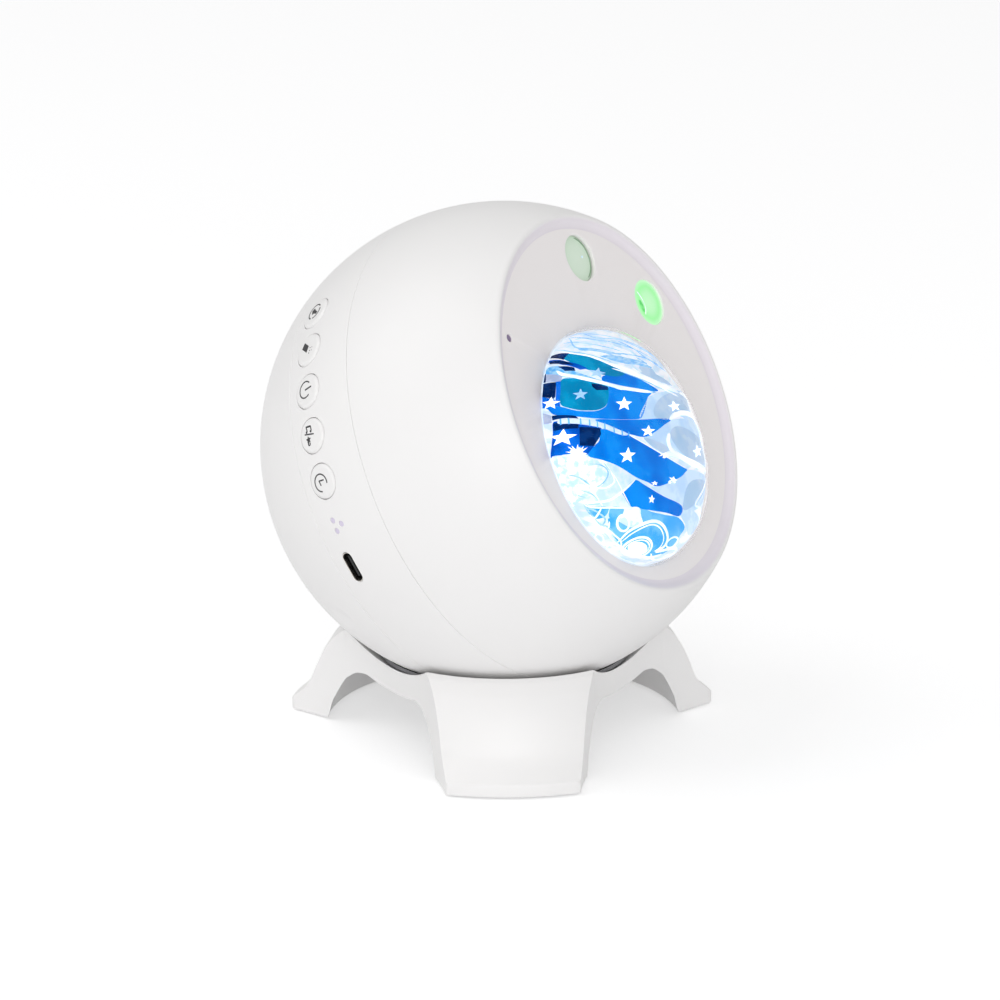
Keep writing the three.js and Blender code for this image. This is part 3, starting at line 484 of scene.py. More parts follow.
# %% Middle band
BUTTON_NAMES = ["scene", "light", "power", "mode", "timer"]
BUTTON_SPACING, BUTTON_MIDDLE, BUTTON_HEIGHT, BUTTON_RADIUS = 13.0, -94.95, -15.2, 4.8
PORT_SPACING, BUTTON_GAP, HOLE_EASE = 12.6, 0.14, 0.12
SOCKET_HEIGHT, SOCKET_WIDTH, SOCKET_SLOT, SOCKET_GAP = -17.5, 8.94, 3.2, 0.1
SOUND_HEIGHT, SOUND_RADIUS, SOUND_SPREAD, SOUND_STEPS = -15.7, 0.85, 1.75, 32
button_angles = [BUTTON_MIDDLE - (i - 2) * math.degrees(BUTTON_SPACING / BALL) for i in range(5)]
sound_angle = button_angles[-1] - math.degrees(PORT_SPACING / BALL)
socket_angle = sound_angle - math.degrees(PORT_SPACING / BALL)
sound_places = [(SOUND_SPREAD * s, -SOUND_SPREAD * c) for c, s in map(cos_sin, (0, 120, 240))]
socket_wall, socket_half = SOCKET_SLOT / 2, (SOCKET_WIDTH - SOCKET_SLOT) / 2

rear_tongue = -BAND + TONGUE
rebate = math.sqrt(INNER ** 2 - (rear_tongue + FIT) ** 2) + FIT
front_rebate = INNER + TONGUE_THICK + FIT


def band_section():
    skin = arc(BALL, height_angle(BALL, -BAND), height_angle(BALL, -SEAM), 40)
    inside = arc(INNER, height_angle(INNER, -TONGUE - FIT),
                 height_angle(INNER, rear_tongue + FIT), 20)
    return rounded([
        (skin[0], SEAM_EDGE), (skin[1:-1], 0), (skin[-1], SEAM_EDGE), ((front_rebate, -SEAM), 0),
        ((front_rebate, -TONGUE - FIT), 0), (inside, 0), ((rebate, rear_tongue + FIT), 0),
        ((rebate, -BAND), STEP_EDGE),
    ])


band = ball_piece("button_band_smooth", turned(band_section(), FINE_STEPS), ring=True)
holes = [side_hole(f"hole_{name}", angle, BUTTON_HEIGHT, BUTTON_RADIUS + BUTTON_GAP, HOLE_EASE)
         for name, angle in zip(BUTTON_NAMES, button_angles)]
holes += [side_hole(f"sound_{i}", sound_angle, SOUND_HEIGHT, SOUND_RADIUS, HOLE_EASE,
                    steps=SOUND_STEPS, shift=place) for i, place in enumerate(sound_places)]
holes.append(side_hole("socket_hole", socket_angle, SOCKET_HEIGHT, socket_wall + SOCKET_GAP,
                       SOCKET_GAP, half=socket_half))
white_plastic.on(smooth(cut(band, holes)), "ball", ["button_band"])
print("band", len(band.data.polygons), "faces, buttons at", np.round(button_angles, 2))

# %% [markdown]
# ## What sits in the holes
# The three small holes are filled with pale mesh plugs that let the sound through. The
# power socket is a drawn steel shell with a rounded mouth, and its black core carries a tongue.
# Both are grids of the same kind as the holes, so they fit them by construction.

# %% Sound plugs and power socket
# the plugs' lilac tint is a painted glow of the lamp inside, seen through the mesh
glowing_mesh = moulded("sound_mesh", "face_white", (224, 217, 234), (214, 206, 228), 0.6,
                     grain=0.00012, depth=0.00003)
steel = Finish("drawn_steel", "plated_steel", shade((214, 210, 204)), 0.22, Metallic=1.0)
steel_grain = steel.noise(0.0006, detail=3.0, scale=(1, 1, 0.1))
steel.set({"Roughness": 0.14 + steel_grain * 0.2}).bump(steel_grain, 0.000004)
black_plastic = moulded("black_moulding", "black_plastic", (22, 22, 25), (30, 30, 33), 0.42,
                        grain=0.0003, depth=0.00001)

plug_side = SOUND_RADIUS - 0.02
plug_rows = [(0, -0.25, 1), (SOUND_RADIUS - 0.1, -0.25, 1), (plug_side, -0.35, 1),
             (plug_side, -2.0, 1), (0, -2.0, 1)]
for i, place in enumerate(sound_places):
    glowing_mesh.dress(f"sound_plug_{i + 1}", side_grid(sound_angle, SOUND_HEIGHT, plug_rows,
                                                      SOUND_STEPS, shift=place))

SOCKET_MOUTH, SOCKET_END, TONGUE_HALF = 64.5, 50.3, 0.36
shell_inside, core_side = socket_wall - 0.3, socket_wall - 0.32
shell_rows = [
    (0, SOCKET_END), (socket_wall, SOCKET_END), (socket_wall, SOCKET_MOUTH - 0.2),
    (socket_wall - 0.06, SOCKET_MOUTH - 0.05), (socket_wall - 0.15, SOCKET_MOUTH),
    (socket_wall - 0.24, SOCKET_MOUTH - 0.05), (shell_inside, SOCKET_MOUTH - 0.2),
    (shell_inside, SOCKET_END + 0.5), (0, SOCKET_END + 0.5)]
core_rows = [
    (0, SOCKET_END + 0.6), (core_side, SOCKET_END + 0.6), (core_side, SOCKET_MOUTH - 5.2),
    (TONGUE_HALF, SOCKET_MOUTH - 5.2), (TONGUE_HALF, SOCKET_MOUTH - 0.9),
    (0.25, SOCKET_MOUTH - 0.75), (0, SOCKET_MOUTH - 0.75)]
for finish, name, rows, replaces in ((steel, "usb_socket_shell", shell_rows, ["usb_socket"]),
                                     (black_plastic, "usb_socket_core", core_rows, ())):
    finish.dress(name, side_grid(socket_angle, SOCKET_HEIGHT, [(*row, 0) for row in rows],
                                 half=socket_half), replaces)
print("sound plugs", len(sound_places), "and the socket at", round(socket_angle, 2))

# %% [markdown]
# ## Buttons
# Each button is a cap that carries on the curve of the ball and stands a little proud of it. Its
# edge is a soft quarter round. Behind the wall a flange keeps it in, and a stem reaches the
# switch. The rows run from the middle of the top over the edge and down to the stem's end.

# %% Button caps
BUTTON_PROUD, BUTTON_EASE = 0.5, 1.0
SWITCH_FACE = BALL - 11.5
STEM_END, STEM, LIP = SWITCH_FACE + 2.1 + FIT, 1.9, BUTTON_RADIUS + 0.7
LIP_TOP = math.sqrt(INNER ** 2 - (LIP - BUTTON_HEIGHT) ** 2) - 0.6
LIP_FOOT = LIP_TOP - 0.8

top = [(r, BUTTON_PROUD, 1) for r in np.linspace(0, BUTTON_RADIUS - BUTTON_EASE, 10)]
edge = [(BUTTON_RADIUS - BUTTON_EASE * (1 - math.sin(a)),
         BUTTON_PROUD - BUTTON_EASE * (1 - math.cos(a)), 1)
        for a in np.linspace(0, np.pi / 2, 9)[1:]]
cap_rows = [*top, *edge, (BUTTON_RADIUS, LIP_TOP, 0), (LIP, LIP_TOP, 0), (LIP, LIP_FOOT, 0),
            (STEM, LIP_FOOT, 0), (STEM, STEM_END, 0), (0, STEM_END, 0)]
for name, angle in zip(BUTTON_NAMES, button_angles):
    cap = ball_piece(f"button_{name}_cap", side_grid(angle, BUTTON_HEIGHT, cap_rows))
    button_plastic.on(smooth(cap), f"{name}_button", [f"button_{name}"])
print("button caps", len(BUTTON_NAMES))

# %% [markdown]
# ## The rear cap
# The rear cap closes the ball. It carries the speaker's grille, three wells for the case screws
# and two shallow dishes for the thumbs. The dishes aren't cut: the radius itself sinks by a
# smooth bump, so their edge melts into the ball as it does on the real one.

# %% Rear cap
DISH_ANGLE, DISH_HEIGHT, DISH_RADIUS, DISH_DEPTH = 154.9, -36.9, 5.6, 1.0
WELL_ANGLES, WELL_OFFSET, WELL_RADIUS, WELL_PLANE = (-55, 55, 180), 51.3, 3.3, -26.6
WELL_OUTER, WELL_FLOOR, SCREW_HOLE = 4.5, 1.0, 1.5
GRILLE_PITCH, GRILLE_RADIUS, GRILLE_RINGS, GRILLE_EASE = 4.8, 1.2, 2, 0.25
GRILLE_TOP, WELL_TOP = -INNER + 4, WELL_PLANE - 8


def rear_cap_section():
    top, outer = -BAND - SEAM, rebate - FIT
    skin = arc(BALL, -90, height_angle(BALL, top), 96)
    return rounded([
        (skin[:-1], 0), (skin[-1], SEAM_EDGE), ((outer, top), STEP_EDGE),
        ((outer, rear_tongue), STEP_EDGE), ((outer - TONGUE_THICK, rear_tongue), STEP_EDGE),
        (arc(INNER, height_angle(INNER, top), -90, 48), 0),
    ])


def dished(points):
    """Sinks the outer skin by depth times (1 - (d / radius) squared) squared round each thumb."""
    away = np.linalg.norm(points, axis=-1, keepdims=True)
    sunk = np.zeros_like(away)
    level = math.sqrt(BALL ** 2 - DISH_HEIGHT ** 2)
    for c, s in map(cos_sin, (-DISH_ANGLE, DISH_ANGLE)):
        middle = np.array([level * s, level * c, DISH_HEIGHT])
        d = np.linalg.norm(points - middle, axis=-1, keepdims=True) / DISH_RADIUS
        sunk += DISH_DEPTH * np.clip(1 - d ** 2, 0, 1) ** 2
    return points * (1 - sunk / away * (away > BALL - WALL / 2))


def ring_places(rings):
    """A hexagonal pattern: one hole in the middle, then six more on each ring."""
    return [(0.0, 0.0)] + [
        (ring * GRILLE_PITCH * math.sin(t), ring * GRILLE_PITCH * math.cos(t))
        for ring in range(1, rings + 1) for t in np.radians(np.arange(ring * 6) * 60 / ring)]


def straight_tool(name, x, y, radius, low, high, ease=0.0):
    """A rod along the optical axis whose lower end flares out where it meets the ball."""
    mouth = [(r, low - depth) for r, depth in flare(radius, ease)[::-1]] if ease else []
    profile = [(0, low - 1), (radius + ease, low - 1), (radius + ease, low), *mouth,
               (radius, high), (0, high)]
    return ball_piece(name, turned(profile, 32, (x, y)))


def well_tube(x, y):
    """A tube whose tail follows the inside of the cap: z = -sqrt(radius^2 - x^2 - y^2)."""
    floor = WELL_PLANE + WELL_FLOOR
    grid = turned([(WELL_RADIUS, 0), (WELL_RADIUS, WELL_PLANE), (SCREW_HOLE, WELL_PLANE),
                   (SCREW_HOLE, floor), (WELL_OUTER, floor), (WELL_OUTER, 0)], 48, (x, y))
    for row in (0, -1):
        reach = grid[row, :, 0] ** 2 + grid[row, :, 1] ** 2
        grid[row, :, 2] = -np.sqrt((INNER + 0.05) ** 2 - reach)
    return grid


rear = ball_piece("rear_cap_smooth", dished(turned(rear_cap_section(), FINE_STEPS)), ring=True)
tools = [straight_tool(f"grille_{i}", x, y, GRILLE_RADIUS, -math.sqrt(BALL ** 2 - x ** 2 - y ** 2),
                       GRILLE_TOP, GRILLE_EASE)
         for i, (x, y) in enumerate(ring_places(GRILLE_RINGS))]
wells = [(WELL_OFFSET * s, WELL_OFFSET * c) for c, s in map(cos_sin, WELL_ANGLES)]
tools += [straight_tool(f"well_{i}", x, y, WELL_RADIUS, -BALL, WELL_TOP)
          for i, (x, y) in enumerate(wells)]
white_plastic.on(smooth(cut(rear, tools)), "ball", ["rear_cap"])
for i, (x, y) in enumerate(wells):
    white_plastic.dress(f"screw_well_{i + 1}", well_tube(x, y), ring=True)
print("rear cap", len(rear.data.polygons), "faces")

# %% [markdown]
# ## The face panel
# The panel is a flat plate, set back behind the bevelled rim. It has a big round window, two
# small windows for the lasers and a tiny infrared hole. It is turned as a disc, and the holes are
# cut with tools that flare at the front.

# %% Face panel
WINDOW, WINDOW_DROP, WINDOW_GAP = PANEL - 13.5 - 2.3, 13.5, 0.27
LASER_SIDE, LASER_UP, LASER_RADIUS, LASER_SETBACK = 15.6, PANEL - 11.0, 6.7, 1.2
LASER_LIP, EYE_SIDE, EYE_RADIUS, PANEL_EASE, JOIN = 0.1, PANEL - 2.9, 1.1, 0.15, 0.01


def panel_tool(name, x, y, radius, ease, steps, widen=0.0, step_depth=0.0):
    """A rod through the panel, wider behind a step, that flares at the front."""
    profile = [(0, PANEL_BACK - 1), (radius + widen, PANEL_BACK - 1)]
    if widen:
        profile += [(radius + widen, PANEL_FRONT - step_depth), (radius, PANEL_FRONT - step_depth)]
    profile += [(r, PANEL_FRONT + depth) for r, depth in flare(radius, ease)]
    profile += [(radius + ease, PANEL_FRONT + 1), (0, PANEL_FRONT + 1)]
    return ball_piece(name, turned(profile, steps, (x, y)))


disc_edge = PANEL + FIT - JOIN
disc = [(0, PANEL_BACK), (disc_edge, PANEL_BACK), (disc_edge, PANEL_FRONT), (0, PANEL_FRONT)]
panel = cut(ball_piece("face_panel_smooth", turned(disc, ROUND_STEPS)), [
    panel_tool("window_hole", 0, -WINDOW_DROP, WINDOW - WINDOW_GAP, 0.1, 192),
    panel_tool("eye_hole", -EYE_SIDE, 0, EYE_RADIUS, PANEL_EASE, 32),
    *[panel_tool(f"laser_hole_{side}", side * LASER_SIDE, LASER_UP, LASER_RADIUS - LASER_LIP,
                 PANEL_EASE, 96, LASER_LIP + FIT, LASER_SETBACK - FIT) for side in (-1, 1)],
])
panel_plastic.on(smooth(panel), "ball", ["face_panel"])
print("face panel", len(panel.data.polygons), "faces")

# %% [markdown]
# ## Thin inlays and strands
# The picture in the window and the signs on the buttons are flat shapes laid on a curved ground.
# An outline is filled with triangles by a constrained Delaunay triangulation, which may have
# extra points inside, and those let the plate follow the curve. A second copy of the points a
# little lower closes it. Raised lines are strands: an oval section carried along a path.

# %% Curves
def flowing(points, closed=True, steps=6):
    """Catmull-Rom curve: a cubic through every point that leans on the points on either side."""
    here = np.asarray(points, float)
    if closed:
        before, after, beyond = (np.roll(here, k, 0) for k in (1, -1, -2))
        first, last = here, here[:0]
    else:
        padded = np.concatenate([2 * here[:1] - here[1:2], here, 2 * here[-1:] - here[-2:-1]])
        before, first, after, beyond = padded[:-3], padded[1:-2], padded[2:-1], padded[3:]
        last = here[-1:]
    t = np.linspace(0, 1, steps, endpoint=False)[None, :, None]
    b, h, a, y = (side[:, None, :] for side in (before, first, after, beyond))
    line = 0.5 * (2 * h + (a - b) * t + (2 * b - 5 * h + 4 * a - y) * t ** 2
                  + (3 * h - b - 3 * a + y) * t ** 3)
    return np.concatenate([line.reshape(-1, here.shape[1]), last])


def swung(middle, side, up, degrees, reach=1.0):
    """Points at middle + reach (side cos t + up sin t)."""
    t = np.radians(degrees)[:, None]
    return (np.asarray(middle) + reach * np.cos(t) * np.asarray(side)
            + reach * np.sin(t) * np.asarray(up))


def ellipse(middle, side, up, steps=48, start=0, end=360):
    return swung(middle, side, up, np.linspace(start, end, steps, endpoint=end - start < 360))


def star(middle, side, up, waist=0.42):
    """Five points at distance 1 and five at the waist, 36 degrees apart."""
    reach = np.where(np.arange(10) % 2, waist, 1.0)[:, None]
    return swung(middle, side, up, 90 + 36 * np.arange(10), reach)


def stroke(path, half):
    """Outline of a pen line: the path moved half a width to the left, then back on the right."""
    path = np.asarray(path, float)
    along = np.gradient(path, axis=0)
    along /= np.linalg.norm(along, axis=1, keepdims=True)
    left = np.stack([-along[:, 1], along[:, 0]], axis=1) * half
    start, end = path[:1] - along[:1] * half * 0.7, path[-1:] + along[-1:] * half * 0.7
    return np.concatenate([start, path + left, end, (path - left)[::-1]])


# %% Plates and strands
def inside(points, outline):
    """True where a ray to the right crosses an odd number of the outline's sides."""
    x, y = points[:, 0:1], points[:, 1:2]
    (x1, y1), (x2, y2) = outline.T, np.roll(outline, -1, 0).T
    rise = np.where(y2 == y1, 1.0, y2 - y1)
    crossed = ((y1 > y) != (y2 > y)) & (x < x1 + (x2 - x1) * (y - y1) / rise)
    return crossed.sum(1) % 2 == 1


def dense(outline, step=0.5):
    """Adds points on every side of an outline, so that no stretch is longer than a step."""
    ends = np.roll(outline, -1, 0)
    counts = np.ceil(np.linalg.norm(ends - outline, axis=1) / step).astype(int)
    return np.concatenate([start + (end - start) * np.arange(count)[:, None] / count
                           for start, end, count in zip(outline, ends, counts) if count])


def filled(outline, pitch=0.8):
    """Points and triangles that fill an outline, with a grid of points inside it."""
    low, high = outline.min(0), outline.max(0)
    grid = np.stack(np.meshgrid(*[np.arange(low[k] + pitch / 2, high[k], pitch) for k in (0, 1)]),
                    axis=-1).reshape(-1, 2)
    points = np.concatenate([outline, grid[inside(grid, outline)]])
    count = len(outline)
    ring = [(i, (i + 1) % count) for i in range(count)]
    made = geometry.delaunay_2d_cdt([Vector(p) for p in points], ring, [list(range(count))],
                                    1, 1e-4)
    return np.array([tuple(p) for p in made[0]]), np.array(made[2])


def inlay(name, outlines, ground, lift, thick=0.08):
    """A thin closed plate in every outline: the triangles, their copy below and a wall round."""
    points, faces, first = [], [], 0
    for outline in outlines:
        flat, top = filled(dense(np.asarray(outline, float)))
        count = len(flat)
        edges = np.concatenate([top[:, [0, 1]], top[:, [1, 2]], top[:, [2, 0]]])
        rim = edges[~np.isin(edges @ [count, 1], edges @ [1, count])]
        wall = np.stack([rim[:, 0], rim[:, 0] + count, rim[:, 1] + count, rim[:, 1]], axis=1)
        points += [ground(flat, lift), ground(flat, lift - thick)]
        for part in (top, top[:, ::-1] + count, wall):
            faces += (part + first).tolist()
        first += 2 * count
    return piece_from(name, np.concatenate(points), faces)


def strands(name, lines, ground, lift=0.0, flat_share=0.5, sides=10):
    """Oval sections along each (path, width, closed); an open path narrows to a point."""
    points, faces, first = [], [], 0
    turn = np.linspace(0, 2 * np.pi, sides, endpoint=False)[None, :, None]
    for path, width, closed in lines:
        low, high = ground(path, lift), ground(path, lift + 1)
        up = (high - low) / np.linalg.norm(high - low, axis=1, keepdims=True)
        along = np.gradient(low, axis=0)
        if closed:
            along[0] = along[-1] = low[1] - low[-1]
        across = np.cross(along, up)
        across /= np.linalg.norm(across, axis=1, keepdims=True)
        s = np.linspace(-1, 1, len(path))
        half = MM * width / 2 * (1 + 0 * s if closed else np.sqrt(1 - np.abs(s) ** 5))
        grid = low[:, None] + half[:, None, None] * (
            across[:, None] * np.cos(turn) + flat_share * up[:, None] * np.sin(turn))
        points.append(grid.reshape(-1, 3))
        faces += grid_faces(len(path), sides, closed, True, first)
        first += len(path) * sides
    return smooth(piece_from(name, np.concatenate(points), faces), STRAND_CREASE)


# %% [markdown]
# ## The window
# The window is a clear dome with ripples, which bend the light of the lamp into waves. It sits on
# a flange behind the panel. Its outer skin is a low dome with full shoulders, a superellipse
# (r / radius)^p + (z / height)^p = 1, pushed out and in by three bent waves that fade towards
# the foot.

# %% Clear rippled dome
DOME, DOME_HEIGHT, DOME_WALL, DOME_INNER_HEIGHT = 33.2, 14.0, 0.4, 13.15
FLANGE_RADIUS, FLANGE_LOW, FLANGE_HIGH, TUB_REACH = 36.0, 35.0, 36.7, 47.6
RIPPLE, DOME_FOOT, FLANGE_INNER, FULL, DOME_TURN = 0.3, -0.15, 31.6, 2.8, 160
window_middle = np.array([0.0, -WINDOW_DROP, 0.0])
window_place = window_middle + np.array([0.0, 0.0, PANEL_FRONT])


def ripples(u, v):
    """Three sine waves whose crests are bent by slower sines, in the window's millimetres."""
    long = np.sin(2 * np.pi * (v + 3.5 * np.sin(u / 9)) / 8.5)
    slant = np.sin(2 * np.pi * (0.6 * v - 0.8 * u + 2.5 * np.sin(v / 7)) / 11)
    wide = np.sin(2 * np.pi * (u + 2 * np.sin(v / 5)) / 17)
    return 0.5 * long + 0.3 * slant + 0.2 * wide


def full_dome(radius, height, a):
    """A superellipse by its angle: r = R sin(a)^(2/p), z = H cos(a)^(2/p)."""
    return radius * np.sin(a) ** (2 / FULL), height * np.clip(np.cos(a), 0, 1) ** (2 / FULL)


def dome_rows(radius, height, wave, steps):
    """Rows of a dome, with ripples that fade with (r / R)^6."""
    r, z = full_dome(radius, height, np.linspace(0, np.pi / 2, steps)[:, None])
    turn = np.linspace(0, 2 * np.pi, DOME_TURN, endpoint=False)[None, :]
    u, v = r * np.cos(turn), r * np.sin(turn)
    return np.stack([u, v, z + wave * ripples(u, v) * (1 - (r / radius) ** 6)], axis=-1)


def dome_shell(outer, inner, radius, wall):
    """An outer skin, its foot and an inner skin, in the ball's millimetres."""
    foot = turned([(radius, DOME_FOOT), (radius - wall, DOME_FOOT)], DOME_TURN)
    return np.concatenate([outer, foot, inner[::-1]]) + window_place


def ring_rows(shape):
    """Rows (radius, height over the panel's front) round the window, kept inside the tub."""
    rows = turned(shape, DOME_TURN)
    reach = np.linalg.norm((rows + window_middle)[..., :2], axis=-1, keepdims=True)
    share = np.minimum(1, TUB_REACH / reach)
    return np.concatenate([(rows + window_middle)[..., :2] * share, rows[..., 2:]],
                          axis=-1) - window_middle


clear = Finish("clear_window", "clear_polycarbonate", shade((255, 255, 255)), 0.02,
               Transmission_Weight=1.0, IOR=1.06)
clear.set({"Roughness": clear.noise(0.012, detail=3.0) * 0.03})
dome = clear.dress("window_dome", dome_shell(
    dome_rows(DOME, DOME_HEIGHT, RIPPLE, 64),
    dome_rows(DOME - DOME_WALL, DOME_INNER_HEIGHT, 0.0, 40), DOME, DOME_WALL), ["window_cover"])
low, high, foot = FLANGE_LOW - PANEL_FRONT, FLANGE_HIGH - PANEL_FRONT, DOME_FOOT - 0.05
flange_grid = ring_rows([(DOME, foot), (DOME, high), (FLANGE_RADIUS, high), (FLANGE_RADIUS, low),
                         (FLANGE_INNER, low), (FLANGE_INNER, foot)])
# the flange's emission is a painted glow of the lamp inside
frosted_glow = moulded("frosted_flange", "clear_polycarbonate", (240, 246, 252), (228, 238, 248), 0.3,
                  Emission_Color=shade((232, 242, 252)), Emission_Strength=0.3)
frosted_glow.dress("window_flange", flange_grid + window_place, ring=True)
print("window dome", len(dome.data.polygons), "faces")

# %% [markdown]
# ## What the window shows
# Through the ripples one sees the blue tub, the teal motor, the ring gear and the lit lamp, all
# bent into ribbons. Traced ripples would give that picture from one place only, so it lies as a
# thin relief on a pearly film just under the dome, where it looks right from all sides. The film
# is lit from behind, and so its colours glow a little.

# %% Film under the dome
FILM, FILM_HEIGHT, FILM_WALL = 32.4, 12.7, 0.3
film_r, film_z = full_dome(FILM, FILM_HEIGHT, np.linspace(0, np.pi / 2, 2000))
film_length = np.concatenate([[0], np.cumsum(np.hypot(np.diff(film_r), np.diff(film_z)))])


def on_film(flat, lift):
    """Lays a drawing on the film, its distances from the middle measured along the curve.

    The slope of the superellipse is ((r / R)^(p - 1) / R, (z / H)^(p - 1) / H).
    """
    away = np.maximum(np.hypot(flat[:, 0], flat[:, 1]), TINY)
    r, z = np.interp(away, film_length, film_r), np.interp(away, film_length, film_z)
    u, v = (flat * (r / away)[:, None]).T
    side = (r / FILM) ** (FULL - 1) / FILM / np.maximum(r, TINY)
    normal = np.stack([u * side, v * side,
                       (z / FILM_HEIGHT) ** (FULL - 1) / FILM_HEIGHT + TINY], axis=1)
    normal /= np.linalg.norm(normal, axis=1, keepdims=True)
    return in_ball(np.stack([u, v, z], axis=1) + lift * normal + window_place)


GLOW, CLEAR_SLOT, BLUE_SLOT = 0.3, "clear_polycarbonate", "deep_blue"


def lit(name, slot, colour, other, glow=GLOW, size=0.006, stretch=1):
    """A gloss finish that is lit from behind: its own colour also goes out as light."""
    finish = Finish(name, slot, shade(colour), 0.2, Emission_Strength=glow,
                    Specular_IOR_Level=0.05)
    cloud = finish.noise(size, detail=3.0, scale=(1, 1, stretch)).ramp(0.38, 0.62)
    tint = finish.mix(cloud, shade(colour), shade(other))
    return finish.set({"Base Color": tint, "Emission Color": tint,
                       "Roughness": 0.2 + cloud * 0.1})


pearl = lit("pearl_film", CLEAR_SLOT, (246, 250, 255), (203, 226, 250), size=0.005, stretch=2.5)
pearl.dress("window_film", dome_shell(
    dome_rows(FILM, FILM_HEIGHT, 0.0, 48),
    dome_rows(FILM - FILM_WALL, FILM_HEIGHT - FILM_WALL, 0.0, 48), FILM, FILM_WALL))

# %% Colours of the relief
sky = lit("sky_streaks", CLEAR_SLOT, (132, 194, 244), (176, 214, 248), GLOW, 0.004, 3)
light_sky = lit("light_sky", CLEAR_SLOT, (92, 176, 240), (156, 208, 248), GLOW, 0.002, 3)
mist = lit("mist_streaks", CLEAR_SLOT, (196, 224, 248), (222, 238, 253), GLOW, 0.003)
ash = lit("ash_glass", CLEAR_SLOT, (166, 198, 229), (186, 208, 234), GLOW, 0.008)
pale = lit("pale_glass", CLEAR_SLOT, (186, 217, 251), (204, 228, 253), GLOW, 0.007)
azure = lit("azure_band", BLUE_SLOT, (0, 112, 220), (8, 140, 242), GLOW, 0.012)
light_azure = lit("light_azure", BLUE_SLOT, (66, 168, 248), (112, 190, 251), GLOW, 0.006)
royal = lit("royal_blue", BLUE_SLOT, (0, 78, 186), (2, 108, 222), GLOW, 0.008)
navy = lit("navy_parts", BLUE_SLOT, (0, 32, 84), (0, 48, 112), GLOW, 0.003)
teal = lit("teal_can", "teal_paint", (0, 126, 178), (2, 148, 198), GLOW, 0.007)
lilac = lit("lilac_part", CLEAR_SLOT, (160, 176, 210), (186, 196, 222), GLOW, 0.003)
# white of a painted pool of the lamp's light
lamp_pool = lit("painted_lamp_pool", CLEAR_SLOT, (250, 252, 255), (190, 222, 252), 0.35, 0.002)
# white of the painted highlights: the ripples' bright lines and the glint on the lit pane
highlight_glow = lit("painted_highlight", CLEAR_SLOT, (252, 254, 255), (224, 239, 254), 0.45, 0.004)
blaze = lit("lamp_glow", "led_cream", (255, 255, 255), (252, 253, 255), 0.8, 0.004)

